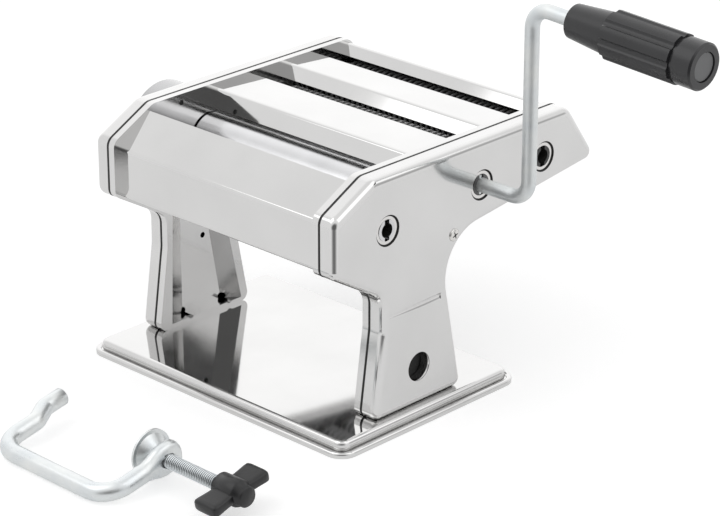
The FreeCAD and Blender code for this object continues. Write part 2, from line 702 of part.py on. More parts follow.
def slotted(name, body, y, z):
    """Cut the slot for a crank's cross pin across a driven shaft's end."""
    tool = box(name + "_slot", "2 * slot_depth", "socket_slot", "3 * journal",
               X_SHAFT + " - slot_depth", y + " - socket_slot / 2", z + " - 1.5 * journal")
    return cut(name + "_shaft", body, tool)


def make_gear(label, kind, pitch_radius, bore, y, z, turned_by_half):
    """Spur gear with straight-sided teeth, thinned so that it runs free."""
    teeth = int(size(kind + "_teeth"))
    module = size(kind + "_module")
    tip = pitch_radius + module
    root = pitch_radius - size("dedendum") * module
    pitch = math.pi * module
    foot = (size("tooth_foot") * pitch - size("backlash")) / 2 / root
    crest = (size("tooth_crest") * pitch - size("backlash")) / 2 / tip
    phase = math.pi / teeth if turned_by_half else 0
    corners = []
    for index in range(teeth):
        middle = phase + 2 * math.pi * index / teeth
        for radius, angle in ((root, -foot), (tip, -crest), (tip, crest), (root, foot)):
            corners.append((radius * math.cos(middle + angle), radius * math.sin(middle + angle)))
    body = new_body(label + "_body")
    pad(body, "YZ_Plane", polygon(corners) + [circle(0, 0, bore)], "gear_length", X_GEAR)
    bind(body, Placement__Base__y=y, Placement__Base__z=z)
    node(body, label)


def make_rollers():
    radius = size("roller_radius")
    drum = [(-END, radius), (END, radius)]
    front = turned("front_roller_body", roller_profile(drum), "roller_front", "roller_high")
    node(slotted("front_roller", front, "roller_front", "roller_high"), "front_roller")
    bore = size("sleeve_radius") + size("running")
    drive = size("drive_radius")
    tube = [(-END, bore), (-END, radius), (END, radius), (END, drive), (GEAR_END, drive), (GEAR_END, bore)]
    node(turned("rear_roller_body", tube, Y_REAR, "roller_high"), "rear_roller")
    pitch_radius = CLOSEST / 2
    make_gear("front_roller_gear", "roller", pitch_radius, size("journal"), "roller_front", "roller_high", False)
    make_gear("rear_roller_gear", "roller", pitch_radius, drive, Y_REAR, "roller_high", True)


# Cutters: turned discs that run in the grooves of their mates.

def disc_places(pitch, shifted):
    """Middles of a cutter's discs; a mate's discs stand between them."""
    count = int(size("roller_length") / pitch) - (1 if shifted else 0)
    return [(index - (count - 1) / 2) * pitch for index in range(count)]


def battlement(middles, width, low, high):
    """Points that step from low to high over each middle."""
    points = []
    for middle in middles:
        start = middle - width / 2
        stop = middle + width / 2
        points += [(start, low), (start, high), (stop, high), (stop, low)]
    return points


def disc_points(name, shifted):
    """Stepped profile of a cutter's discs."""
    low = size("cutter_core")
    middles = disc_places(size(name + "_pitch"), shifted)
    return [(-END, low)] + battlement(middles, size(name + "_disc"), low, size("cutter_radius")) + [(END, low)]


def make_cutters(name, axis, high, mate):
    front = turned(name + "_front_body", roller_profile(disc_points(name, False)), axis, high)
    node(slotted(name + "_front", front, axis, high), name + "_cutter_front")
    rear = turned(name + "_mate_body", plain_profile(disc_points(name, True)), mate, high)
    node(rear, name + "_cutter_rear")
    pitch_radius = size("cutter_spacing") / 2
    journal = size("journal")
    make_gear(name + "_gear_front", "cutter", pitch_radius, journal, axis, high, False)
    make_gear(name + "_gear_rear", "cutter", pitch_radius, journal, mate, high, True)


def make_comb(label, name, shifted, y, high):
    """Flat comb whose fingers reach into a cutter's grooves from its outer side."""
    gap = size("comb_gap")
    tip = math.sqrt(size("cutter_core") ** 2 - size("comb_drop") ** 2) + gap
    shoulder = size("cutter_radius") + gap
    edge = shoulder + size("comb_reach")
    middles = disc_places(size(name + "_pitch"), shifted)
    fingers = battlement(middles, size(name + "_disc") + 2 * gap, tip, shoulder)
    outline = [(-HALF, edge), (-HALF, tip)] + fingers + [(HALF, tip), (HALF, edge)]
    outward = 1 if shifted else -1
    body = new_body(label + "_body")
    pad(body, "XY_Plane", polygon([(x, outward * reach) for x, reach in outline]), "comb_sheet")
    bind(body, Placement__Base__y=y, Placement__Base__z=high + " - comb_drop - comb_sheet / 2")
    node(body, label)


def make_combs():
    for name, mate in (("middle", MIDDLE_REAR), ("rear", REAR_REAR)):
        make_comb(name + "_comb_front", name, False, name + "_axis", name + "_high")
        make_comb(name + "_comb_rear", name, True, mate, name + "_high")


def make_scrapers():
    """Blades under the smooth rollers, each with a folded stiffening edge."""
    clear = size("roller_radius") + size("scraper_gap")
    angle = math.radians(size("scraper_angle"))
    low = size("roller_high") - clear * math.cos(angle)
    foot = low - size("scraper_drop")
    for label, axis, side in (("front_roller_scraper", size("roller_front"), -1),
                              ("rear_roller_scraper", ROLLER_REAR, 1)):
        edge = axis + side * clear * math.sin(angle)
        bend = edge + side * size("scraper_run")
        path = [(bend + side * size("scraper_flange"), foot), (bend, foot), (edge, low)]
        make_sheet(label, path[::side], size("comb_sheet"))


# Regulator: an eccentric shaft that carries the rear roller in its sleeves, and its knob on the left.

def upright_slot(half, rise):
    """Slot about the origin with round ends whose centres stand at plus and minus its rise."""
    return [
        Part.Arc(Vector(half, rise, 0), Vector(0, rise + half, 0), Vector(-half, rise, 0)),
        Part.LineSegment(Vector(-half, rise, 0), Vector(-half, -rise, 0)),
        Part.Arc(Vector(-half, -rise, 0), Vector(0, -rise - half, 0), Vector(half, -rise, 0)),
        Part.LineSegment(Vector(half, -rise, 0), Vector(half, rise, 0)),
    ]


def make_regulator():
    knob_back = X_OUTER + " + knob_gap"
    shaft = knob_back + " + knob_length - 2 * knob_wall"
    gear_end = X_GEAR + " + gear_length"
    left = cylinder("regulator_left", "shaft_left", shaft + " - " + X_END, "-(" + shaft + ")", Y_KNOB, Z_KNOB)
    core = cylinder("regulator_core", "core_radius", gear_end + " + " + X_END, "-" + X_END, Y_REAR, Z_CORE)
    right = cylinder("regulator_right", "shaft_right", X_OUTER + " - wall - end_play - (" + gear_end + ")",
                     gear_end, Y_KNOB, Z_KNOB)
    node(fuse("regulator", [left, core, right]), "eccentric_shaft")
    slot = upright_slot(size("core_radius") + size("yoke_gap"), CORE_RISE)
    sleeves = []
    for index, start in enumerate(("-" + X_END + " + end_play", gear_end + " - sleeve_length - end_play")):
        sleeve = new_body("sleeve_%d" % index)
        pad(sleeve, "YZ_Plane", [circle(0, 0, size("sleeve_radius"))] + slot, "sleeve_length", start)
        bind(sleeve, Placement__Base__y=Y_REAR, Placement__Base__z="roller_high")
        sleeves.append(sleeve)
    node(group("sleeves", sleeves), "roller_sleeves")
    radius = size("knob_radius")
    wall = size("knob_wall")
    boss = size("knob_boss")
    edge = size("knob_edge")
    bore = size("shaft_left") + size("running")
    back = -OUTER - size("knob_gap")
    front = back - size("knob_length")
    profile = [(front, 0), (front, radius - edge), (front + edge, radius), (back, radius), (back, radius - wall),
               (front + wall, radius - wall), (front + wall, boss), (back, boss), (back, bore),
               (front + wall, bore), (front + wall, 0)]
    node(turned("knob", profile, Y_KNOB, Z_KNOB), "regulator_knob")


# Bushes, socket rings and the tie rod.

def make_bearings():
    bushes = []
    for index, (y, z) in enumerate(FIXED_SHAFTS):
        for side, start in (("left", "-(" + X_HALF + " + bush_length)"), ("right", X_HALF)):
            bushes.append(ring("bush_%d_%s" % (index, side), "journal + running + bush_wall", "journal + running",
                               "bush_length", start, y, z))
    node(group("bushes", bushes), "shaft_bushes")
    face = OUTER - size("ring_sunk")
    seat = OUTER - size("wall")
    back = face - size("ring_length")
    bore = size("journal") + size("running")
    flange = size("ring_flange")
    neck = size("ring_radius")
    profile = [(back, bore), (back, flange), (seat, flange), (seat, neck), (face, neck), (face, bore)]
    rings = [turned("socket_ring_%d" % index, profile, y, z) for index, (y, z) in enumerate(DRIVEN_SHAFTS)]
    node(group("rings", rings), "socket_rings")
    seats = []
    for index, (kind, start, length) in enumerate((
            ("shaft_left", "-(" + X_HALF + " + bush_length)", "bush_length"),
            ("shaft_left", "-(" + X_OUTER + " + bush_proud)", "bush_length + bush_proud"),
            ("shaft_right", X_GEAR + " + gear_length + end_play",
             X_OUTER + " - wall - (" + X_GEAR + " + gear_length + end_play)"))):
        seats.append(ring("regulator_bush_%d" % index, kind + " + running + bush_wall", kind + " + running",
                          length, start, Y_KNOB, Z_KNOB))
    node(group("regulator_seats", seats), "regulator_bushes")
    tie_end = X_OUTER + " + tie_proud"
    node(cylinder("tie", "tie_radius", "2 * (" + tie_end + ")", "-(" + tie_end + ")", "tie_y", "tie_z"), "tie_rod")


# Crank: a bent rod with a cross pin, and a grip that turns on its end between a shoulder and a collar.

def bent_rod(points, radius, bends):
    """Round rod along straight runs joined by tangent arcs, one bend radius for each inner point."""
    path = []
    start = points[0]
    for index, bend in enumerate(bends, start=1):
        here = points[index]
        back = (points[index - 1] - here).normalize()
        ahead = (points[index + 1] - here).normalize()
        half = back.getAngle(ahead) / 2
        reach = bend / math.tan(half)
        inward = (back + ahead).normalize()
        middle = here + inward * (bend / math.sin(half) - bend)
        path.append(Part.LineSegment(start, here + back * reach).toShape())
        path.append(Part.Arc(here + back * reach, middle, here + ahead * reach).toShape())
        start = here + ahead * reach
    path.append(Part.LineSegment(start, points[-1]).toShape())
    spine = Part.Wire(path)
    section = Part.Wire([Part.Circle(points[0], points[1] - points[0], radius).toShape()])
    return spine.makePipeShell([section], True, False)


X_ARM = "(roller_length / 2 + roller_play + plate_depth + seam + cover_depth + crank_reach)"
ARM = OUTER + size("crank_reach")
GRIP_START = OUTER + size("grip_out")
ROD_END = GRIP_START + size("rod_in_grip")


def on_grip_axis(thing):
    """Turn a piece of the grip about the head of the crank's arm, so that its axis falls outward."""
    thing.Placement = Placement(Vector(), Rotation(Vector(0, 1, 0), size("grip_tilt")))
    bind(thing, Placement__Rotation__Angle="grip_tilt")
    bind(thing, Placement__Base__x=X_ARM + " * (1 - cos(grip_tilt))", Placement__Base__y="middle_axis",
         Placement__Base__z="middle_high + crank_throw + " + X_ARM + " * sin(grip_tilt)")
    return thing


def make_crank():
    y = size("middle_axis")
    z = size("middle_high")
    inside = SHAFT_END - size("socket_depth") + size("socket_play")
    head = Vector(ARM, y, z + size("crank_throw"))
    along = Rotation(Vector(0, 1, 0), size("grip_tilt")).multVec(Vector(ROD_END - ARM, 0, 0))
    rod = doc.addObject("Part::Feature", "crank_bent_rod")
    rod.Shape = bent_rod([Vector(inside, y, z), Vector(ARM, y, z), head, head + along],
                         size("crank_radius"), [size("crank_bend")] * 2)
    pin = doc.addObject("Part::Cylinder", "crank_cross_pin")
    bind(pin, Radius="pin_radius", Height="pin_length")
    bind(pin, Placement__Base__x=X_SHAFT + " - slot_depth / 2", Placement__Base__y="middle_axis",
         Placement__Base__z="middle_high - pin_length / 2")
    node(pin, "crank_pin")
    node(cut("crank_drilled", rod, pin), "crank_rod")
    inner = size("crank_radius")
    outer = size("collar_radius")
    start = ROD_END - size("collar_length")
    collar = turned("collar", [(start, inner), (start, outer), (ROD_END, outer), (ROD_END, inner)])
    node(on_grip_axis(collar), "crank_collar")


def make_grip():
    """Grip with a plain nose, a fluted part, a groove and a heel, hollowed for the collar and closed by a cap."""
    full = size("grip_radius")
    heel = size("heel_radius")
    edge = size("grip_edge")
    bore = size("crank_radius") + size("running")
    counterbore = size("collar_radius") + size("end_play")
    cap = size("cap_radius")
    neck = GRIP_START + size("nose_length")
    groove = GRIP_START + size("flute_end")
    heel_start = groove + size("groove_width")
    stop = GRIP_START + size("grip_length")
    cap_face = stop - size("cap_sunk")
    cap_back = cap_face - size("cap_thick")
    shoulder = ROD_END - size("collar_length") - size("end_play")
    profile = [
        (GRIP_START, bore), (GRIP_START, size("grip_nose")),
        (neck, size("grip_waist")), (neck + edge, full), (groove, full),
        (groove, size("groove_radius")), (heel_start, size("groove_radius")),
        (heel_start, heel), (stop - edge, heel), (stop, heel - edge),
        (stop, cap), (cap_back, cap), (cap_back, counterbore),
        (shoulder, counterbore), (shoulder, bore),
    ]
    body = on_grip_axis(turned("grip", profile))
    middle = full - size("flute_depth") + size("flute_radius")
    flute = pocket(body, "YZ_Plane", [circle(0, middle, size("flute_radius"))], "flute_end - nose_length",
                   X_GRIP + " + nose_length", True)
    before = body.Shape.Volume
    pattern = body.newObject("PartDesign::PolarPattern", "grip_flute_pattern")
    pattern.Originals = [flute]
    pattern.Axis = (origin_part(body, "X_Axis"), [""])
    pattern.Angle = 360
    bind(pattern, Occurrences="grip_flutes")
    body.Tip = pattern
    doc.recompute()
    assert body.Shape.Volume < before, "the grip's flutes are not repeated"
    node(body, "crank_grip")
    rim = cap - size("cap_edge")
    plug = [(cap_back, 0), (cap_back, cap), (cap_face - size("cap_edge"), cap), (cap_face, rim), (cap_face, 0)]
    node(on_grip_axis(turned("cap", plug)), "grip_end_cap")


# Clamp: a bent rod with a hook and a threaded eye, a screw with a wing knob and a pressure disc.

Y_SCREW = "(clamp_y + eye_reach * cos(clamp_tilt))"
Z_SCREW = "(clamp_rod + eye_reach * sin(clamp_tilt))"
X_TIP = "(clamp_eye - eye_length / 2 - disc_gap - screw_seat + tip_gap)"
X_WING = "(clamp_eye - eye_length / 2 - disc_gap - screw_seat + tip_gap + screw_length - wing_bore)"


def tilted(thing, y, z):
    """Lay a piece down with the clamp's tilt."""
    thing.Placement = Placement(Vector(), Rotation(Vector(1, 0, 0), size("clamp_tilt")))
    bind(thing, Placement__Rotation__Angle="clamp_tilt", Placement__Base__y=y, Placement__Base__z=z)


def make_clamp():
    hook = size("clamp_hook")
    aside = hook - size("clamp_joggle")
    eye = size("clamp_eye")
    reach = size("clamp_reach")
    straight = reach - size("clamp_tip")
    rod_end = size("eye_reach") - size("screw_radius") - size("eye_margin")
    corners = [(aside, reach), (aside, straight), (hook, straight - size("clamp_slant")), (hook, 0), (eye, 0),
               (eye, rod_end)]
    turn = size("clamp_bend")
    kink = size("clamp_kink")
    rod = doc.addObject("Part::Feature", "clamp_bent_rod")
    rod.Shape = bent_rod([Vector(x, y, 0) for x, y in corners], size("clamp_rod"), [kink, kink, turn, turn])
    tilted(rod, "clamp_y", "clamp_rod")
    plate = new_body("eye")
    side = size("eye_side")
    thread = circle(0, 0, size("screw_radius") + size("running"))
    pad(plate, "YZ_Plane", rounded(rectangle(side, side, size("eye_corner"))) + [thread],
        "eye_length", "clamp_eye - eye_length / 2")
    tilted(plate, Y_SCREW, Z_SCREW)
    node(fuse("clamp_bow", [rod, plate]), "clamp_frame")
    make_disc(eye - size("eye_length") / 2 - size("disc_gap"))
    node(cylinder("screw", "screw_radius", "screw_length", X_TIP, Y_SCREW, Z_SCREW), "clamp_screw")
    make_wing()


def make_disc(back):
    """Dished pressure disc with a flat rim and a neck that takes the screw's tip."""
    wall = size("disc_wall")
    wide = size("disc_radius")
    inner = wide - size("disc_rim")
    front = back - size("disc_depth")
    floor = back - size("screw_seat")
    bore = size("screw_radius") + size("running")
    neck = size("screw_radius") + size("disc_neck")
    profile = [
        (floor - wall, 0), (floor - wall, neck), (front, inner), (front, wide), (front + wall, wide),
        (front + wall, inner), (back, neck), (back, bore), (floor, bore), (floor, 0),
    ]
    node(turned("disc", profile, Y_SCREW, Z_SCREW), "pressure_disc")


def make_wing():
    """Wing knob: a round hub with two flat wings, bored for the screw's end."""
    start = size("clamp_eye") - size("eye_length") / 2 - size("disc_gap") - size("screw_seat") + size("tip_gap")
    near = start + size("screw_length") - size("wing_bore") + size("wing_set")
    far = near + size("wing_breadth")
    half = size("wing_span") / 2
    corner = size("wing_corner")
    outline = [(near, -half, corner), (far, -half, corner), (far, half, corner), (near, half, corner)]
    face = size("wing_thick") / 2
    body = new_body("wing")
    pad(body, "XY_Plane", rounded(outline), "wing_thick").Midplane = True
    round_edges(body, lambda edge: min(abs(edge.BoundBox.ZMin), abs(edge.BoundBox.ZMax)) > face - NEAR
                and edge.BoundBox.ZLength < NEAR, "wing_round")
    pad(body, "YZ_Plane", [circle(0, 0, size("hub_radius"))], "hub_length", X_WING)
    pad(body, "YZ_Plane", [circle(0, 0, size("boss_radius"))], "boss_length", X_WING)
    pocket(body, "YZ_Plane", [circle(0, 0, size("screw_radius"))], "wing_bore", X_WING, True)
    tilted(body, Y_SCREW, Z_SCREW)
    node(body, "wing_knob")


make_base()
make_sides()
make_panels()
make_rollers()
make_cutters("middle", "middle_axis", "middle_high", MIDDLE_REAR)
make_cutters("rear", "rear_axis", "rear_high", REAR_REAR)
make_combs()
make_scrapers()
make_regulator()
make_bearings()
make_crank()
make_grip()
make_clamp()
doc.recompute()

# Nothing is written unless every object is sound.
for thing in doc.Objects:
    assert not {"Invalid", "Error"} & set(thing.State), "%s failed" % thing.Name
for thing in NODES:
    assert not thing.Shape.isNull() and thing.Shape.isValid(), "%s has no sound shape" % thing.Label
os.makedirs("parts", exist_ok=True)
for thing in NODES:
    thing.Shape.exportStep("parts/%s.step" % thing.Label)
print("wrote %d sub-parts" % len(NODES))
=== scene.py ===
import math

import bmesh
import bpy
from bpy.props import FloatProperty, FloatVectorProperty, PointerProperty
from mathutils import Matrix, Vector


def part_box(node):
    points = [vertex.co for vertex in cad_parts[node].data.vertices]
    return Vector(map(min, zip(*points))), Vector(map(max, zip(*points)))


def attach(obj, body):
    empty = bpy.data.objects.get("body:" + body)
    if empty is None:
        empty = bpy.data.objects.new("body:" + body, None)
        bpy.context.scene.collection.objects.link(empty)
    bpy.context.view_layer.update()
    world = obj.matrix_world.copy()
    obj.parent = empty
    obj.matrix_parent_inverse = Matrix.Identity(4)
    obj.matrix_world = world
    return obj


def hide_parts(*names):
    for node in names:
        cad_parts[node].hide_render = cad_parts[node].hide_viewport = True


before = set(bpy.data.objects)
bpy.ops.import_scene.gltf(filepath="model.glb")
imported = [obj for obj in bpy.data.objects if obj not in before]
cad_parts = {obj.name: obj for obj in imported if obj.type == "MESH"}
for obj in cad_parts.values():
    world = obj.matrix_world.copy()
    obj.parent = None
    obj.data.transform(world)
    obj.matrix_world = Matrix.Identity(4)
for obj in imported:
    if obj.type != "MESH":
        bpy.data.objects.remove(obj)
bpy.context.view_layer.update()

bl_info = {
    "name": "Pasta roller machine",
    "version": (1, 0, 0),
    "blender": (4, 5, 0),
    "location": "3D View > Sidebar > Pasta machine",
    "description": "Finishes, fine pieces and stage for a hand-cranked pasta roller machine",
    "category": "Object",
}

MM = 0.001
# Steps that keep a thin piece just off a face, or its edge just under one.
HAIR = 0.02 * MM
SUNK = 0.05 * MM

# Painted shade in the gap round a socket's ring, and in the free sockets' bores.
COVER_WALL = 1.0 * MM
RING_HOLE = 8.62 * MM
RING_RADIUS = 7.75 * MM
RING_SUNK = 0.9 * MM
GAP_SUNK = 0.15 * MM
SOCKET_RADIUS = 4.02 * MM
SOCKET_SUNK = 0.4 * MM
SOCKET_DEEP = 13.0 * MM

# Painted shade in the seam between an inner plate and its cover: a dark band.
SEAM_IN = 1.2 * MM
SEAM_OUT = 0.4 * MM
SEAM_DEEP = 1.2 * MM
SEAM_PROUD = HAIR

# Rolled hem of the base.
HEM = 1.6 * MM
HEM_HIGH = 1.65 * MM
HEM_SIDES = 12

# Clamp holes in the covers: depth and radius of each ring, in millimetres; HOOK_BACK is a dark disc of
# painted shade behind each collar.
HOOK_HOLE = (-2.7 * MM, 30.3 * MM)
HOOK_COLLAR = ((0.3, 8.2), (0.8, 7.9), (1.6, 7.75), (5.8, 7.7), (6.1, 7.85), (6.1, 8.15), (1.2, 8.2))
HOOK_BACK = ((6.6, 9.0), (6.7, 8.9), (6.7, 0))

# Small hole in the left inner plate, drawn as a dark disc of painted shade.
HOLE_PLACE = (-16.6 * MM, 141.5 * MM)
HOLE_RADIUS = 1.5 * MM
HOLE_FLOOR = 1.35 * MM

# Screws in the tie rod's ends: height and radius of each ring, in millimetres, and the cross recess, drawn as
# a dark star of painted shade.
SCREW_DOME = ((0, 3.5), (0.35, 3.5), (0.8, 2.87), (1.05, 1.575), (1.1, 0))
CROSS_ARM = 2.0 * MM
CROSS_HALF = 0.42 * MM
CROSS_TAPER = 0.6
CROSS_HIGH = 1.14 * MM
CROSS_FALL = 0.1 * MM
CROSS_TURN = 20

# Rims of the cutters' discs, which stay bright; below them painted shade darkens the grooves.
DISC_RIM = 1.6 * MM
# Colour factor of each cutter: painted light lifts the middle cutters and painted shade darkens the rear
# ones, one steel lit two ways.
CUTTER_PAINTED_LIGHT = (("middle_cutter_front", 1.25), ("middle_cutter_rear", 1.25),
                 ("rear_cutter_front", 0.6), ("rear_cutter_rear", 0.6))

# Regulator's dial: inner and outer radius of each ring, in millimetres.
DIAL_NUMBERS = 9
DIAL_STEP = 40
DIAL_HEIGHT = 7.5 * MM
DIAL_REACH = 17.6 * MM
DIAL_RINGS = (("dial_ring_inner", 12.6, 13.0), ("dial_ring_outer", 22.6, 22.9))
DIAL_SIDES = 72
INK = 0.015 * MM

# Clamp's bar, in millimetres in its own tilted plane.
CLAMP_TILT = math.radians(11.4)
BAR_Y = -188.0 * MM
BAR_Z = 5.0 * MM
BAR_CORNERS = ((-42.5, 51.0), (-42.5, 38.0), (-36.5, 27.0), (-36.5, 0.0), (49.0, 0.0), (49.0, 20.0))
BAR_BENDS = (7.0, 7.0, 14.0, 14.0)
BAR_RADIUS = 5.0
BAR_TIP = 4.4
BAR_SIDES = 28
BEND_STEPS = 10
# Along the bar, half its breadth, half its height and how square its section is.
EYE_STATIONS = ((20.0, 5.0, 5.0, 1.0), (26.0, 5.0, 5.2, 1.0), (30.0, 4.6, 6.4, 0.9), (34.0, 4.2, 8.0, 0.75),
                (38.0, 4.0, 8.9, 0.65), (44.0, 4.0, 8.9, 0.65), (47.5, 3.9, 7.9, 0.7), (49.4, 3.6, 6.2, 0.8),
                (50.2, 3.0, 4.6, 0.9))
EYE_SPAN = (0.03, 0.07)
EYE_PLAY = 0.15 * MM

# Clamp's wing knob, in millimetres: the hub along the screw, and the wings outward.
WING_HUB = ((5.0, 4.4), (5.0, 6.2), (5.8, 7.2), (19.0, 7.4), (20.4, 6.8), (20.6, 5.9), (24.6, 5.7),
            (25.4, 5.0), (25.4, 0))
WING_STATIONS = ((3.0, 7.0, 3.3), (6.5, 7.2, 3.3), (9.0, 7.4, 3.1), (13.0, 7.8, 3.1), (16.5, 8.0, 3.4),
                 (18.4, 7.9, 3.4), (19.3, 7.3, 2.9), (19.7, 6.2, 2.0))
WING_SPINE = 13.6 * MM
WING_SQUARE = 0.42
WING_SIDES = 24
HUB_SIDES = 48

# Clamp's thread.
THREAD_PITCH = 1.25 * MM
THREAD_DEPTH = 0.75 * MM
THREAD_SIDES = 30
THREAD_STEPS = 8

# Studio, in metres and watts. A way is a direction that polish looks in.
SENSOR = 36.0
FLOOR_RADIUS = 0.62
FLOOR_PLACE = (-0.22, 0.22, 0)
FLOOR_IN_POLISH = 0.74
DARK_WAY = (0.70, -0.71, 0.0)
BRIGHT_WAY = (-0.64, 0.66, 0.39)
HORIZON_WAY = (0.74, 0.66, 0.12)
LAMPS = (("key_lamp", (-0.5, -0.9, 1.5), 1.3, 5.0), ("fill_lamp", (1.0, 0.5, 1.3), 1.3, 3.0))
LAMP_AIM = (0, 0, 0.08)

# Sockets of a Mix node that mixes colours; their names aren't unique.
MIX_FACTOR, MIX_FIRST, MIX_SECOND, MIX_RESULT = 0, 6, 7, 2


# Sizes and colours that a user would change.

class MachineFinish(bpy.types.PropertyGroup):
    """Colours and roughness of the machine's finishes."""

    steel_color: FloatVectorProperty(
        name="Polished steel", description="Colour of the polished sides, sheets and base",
        subtype="COLOR", size=3, default=(0.665, 0.662, 0.658), min=0, max=1)
    cover_roughness: FloatProperty(
        name="Side polish", description="Roughness of the sides", default=0.11, min=0, max=1)
    sheet_roughness: FloatProperty(
        name="Sheet polish", description="Roughness of the panels, sheets and base",
        default=0.06, min=0, max=1)
    roller_color: FloatVectorProperty(
        name="Rollers", description="Colour of the smooth rollers",
        subtype="COLOR", size=3, default=(0.64, 0.64, 0.65), min=0, max=1)
    cutter_color: FloatVectorProperty(
        name="Cutters", description="Colour of the cutter discs",
        subtype="COLOR", size=3, default=(0.80, 0.80, 0.81), min=0, max=1)
    zinc_color: FloatVectorProperty(
        name="Zinc plate", description="Colour of the plated crank and clamp",
        subtype="COLOR", size=3, default=(0.73, 0.765, 0.785), min=0, max=1)
    grip_color: FloatVectorProperty(
        name="Grip", description="Colour of the crank's grip",
        subtype="COLOR", size=3, default=(0.024, 0.024, 0.026), min=0, max=1)
    cap_color: FloatVectorProperty(
        name="Grip cap", description="Colour of the grip's end cap",
        subtype="COLOR", size=3, default=(0.15, 0.152, 0.155), min=0, max=1)
    wing_color: FloatVectorProperty(
        name="Wing knob", description="Colour of the clamp's wing knob",
        subtype="COLOR", size=3, default=(0.011, 0.011, 0.012), min=0, max=1)
    knob_color: FloatVectorProperty(
        name="Regulator knob", description="Colour of the regulator knob",
        subtype="COLOR", size=3, default=(0.47, 0.47, 0.475), min=0, max=1)
    nylon_color: FloatVectorProperty(
        name="Bushes", description="Colour of the nylon bushes and sleeves",
        subtype="COLOR", size=3, default=(0.72, 0.72, 0.68), min=0, max=1)


class MachineStage(bpy.types.PropertyGroup):
    """Camera and studio."""

    azimuth: FloatProperty(
        name="Azimuth", description="Camera's turn from the front towards the crank side",
        subtype="ANGLE", default=math.radians(44.02))
    elevation: FloatProperty(
        name="Elevation", description="Camera's height above the horizon",
        subtype="ANGLE", default=math.radians(22.96))
    distance: FloatProperty(
        name="Distance", description="Camera to the point that it looks at", unit="LENGTH", default=1.5889)
    lens: FloatProperty(
        name="Lens", description="Focal length in millimetres on a 36 mm sensor", default=148.4)
    target: FloatVectorProperty(
        name="Target", description="Point at the middle of the picture", unit="LENGTH", size=3,
        default=(0.05211, -0.007, 0.0829))
    floor_color: FloatVectorProperty(
        name="Floor", description="Colour of the floor", subtype="COLOR", size=3,
        default=(0.70, 0.70, 0.70), min=0, max=1)
    floor_glow: FloatProperty(
        name="Floor white", description="How far the floor is lifted to white where it is seen", default=0.55)
    room_level: FloatProperty(
        name="Room", description="Light that the room sheds on matt surfaces", default=0.60)
    dark_side: FloatProperty(
        name="Dark side", description="How dark the room is behind the camera, as polish shows it",
        default=0.86)
    horizon: FloatProperty(
        name="Horizon", description="How dark the room's far edge is beside the machine, as polish shows it",
        default=0.45)
    bright_side: FloatProperty(
        name="Bright side",
        description="How much brighter the wall behind the machine is, as polish shows it", default=0.36)


# Shader maths.

class Field:
    """A value that varies over a surface: arithmetic on it adds Math nodes to its material."""

    def __init__(self, maker, socket):
        self.maker = maker
        self.socket = socket

    def _math(self, operation, first, second):
        return self.maker.node("ShaderNodeMath", {"operation": operation}, {0: first, 1: second})

    def __add__(self, other):
        return self._math("ADD", self, other)

    __radd__ = __add__

    def __sub__(self, other):
        return self._math("SUBTRACT", self, other)

    def __rsub__(self, other):
        return self._math("SUBTRACT", other, self)

    def __mul__(self, other):
        return self._math("MULTIPLY", self, other)

    __rmul__ = __mul__


class Nodes:
    """Maker of the nodes in one tree."""

    def __init__(self, tree):
        self.tree = tree

    def node(self, kind, settings=None, sockets=None, output=0):
        """Add a node, set it up, fill its sockets and return one of its outputs."""
        made = self.tree.nodes.new(kind)
        for name, value in (settings or {}).items():
            setattr(made, name, value)
        for name, value in (sockets or {}).items():
            if isinstance(value, Field):
                self.tree.links.new(value.socket, made.inputs[name])
            else:
                made.inputs[name].default_value = value
        return Field(self, made.outputs[output])

    def spread(self, field, low, high, start=0.3, stop=0.7):
        """Map a field from the range start to stop onto low to high."""
        return self.node("ShaderNodeMapRange", None,
                         {"Value": field, "From Min": start, "From Max": stop, "To Min": low, "To Max": high})

    def towards(self, vector, direction):
        """How far a vector points in a direction."""
        return self.node("ShaderNodeVectorMath", {"operation": "DOT_PRODUCT"},
                         {0: vector, 1: direction}, "Value")

    def seen(self):
        """Whether a ray comes from the camera, by way of polish or through glass: three fields of 1 or 0."""
        camera = self.node("ShaderNodeLightPath", output="Is Camera Ray")
        glossy = self.node("ShaderNodeLightPath", output="Is Glossy Ray")
        through = self.node("ShaderNodeLightPath", output="Is Transmission Ray")
        return camera, glossy, through


class Finish(Nodes):
    """Maker of one node-based material around a Principled shader."""

    def __init__(self, name, **constants):
        self.material = bpy.data.materials.new(name)
        self.material.use_nodes = True
        super().__init__(self.material.node_tree)
        self.tree.nodes.clear()
        self.shader = self.tree.nodes.new("ShaderNodeBsdfPrincipled")
        output = self.tree.nodes.new("ShaderNodeOutputMaterial")
        self.tree.links.new(self.shader.outputs[0], output.inputs[0])
        for socket, value in constants.items():
            self.shader.inputs[socket.replace("_", " ")].default_value = value

    def feed(self, socket, field):
        self.tree.links.new(field.socket, self.shader.inputs[socket])

    def place(self, scale=(1, 1, 1)):
        """Object coordinates, in metres, scaled per axis."""
        here = self.node("ShaderNodeTexCoord", output="Object")
        return self.node("ShaderNodeVectorMath", {"operation": "MULTIPLY"}, {0: here, 1: scale})

    def noise(self, scale, detail=3.0, stretch=(1, 1, 1)):
        return self.node("ShaderNodeTexNoise", None,
                         {"Vector": self.place(stretch), "Scale": scale, "Detail": detail})

    def shades(self, field, first, second):
        """Colour between two colours."""
        return self.node("ShaderNodeMix", {"data_type": "RGBA"},
                         {MIX_FACTOR: field, MIX_FIRST: (*first, 1), MIX_SECOND: (*second, 1)}, MIX_RESULT)

    def blend(self, field, color, low, high):
        """Base colour that a noise field varies between two shades of a colour."""
        self.feed("Base Color", self.shades(self.spread(field, 0, 1), shade(color, low), shade(color, high)))

    def bump(self, field, strength, distance):
        self.feed("Normal", self.node("ShaderNodeBump", None,
                                      {"Strength": strength, "Distance": distance, "Height": field}))


def shade(color, factor):
    return tuple(min(1.0, channel * factor) for channel in color)


# Finishes.

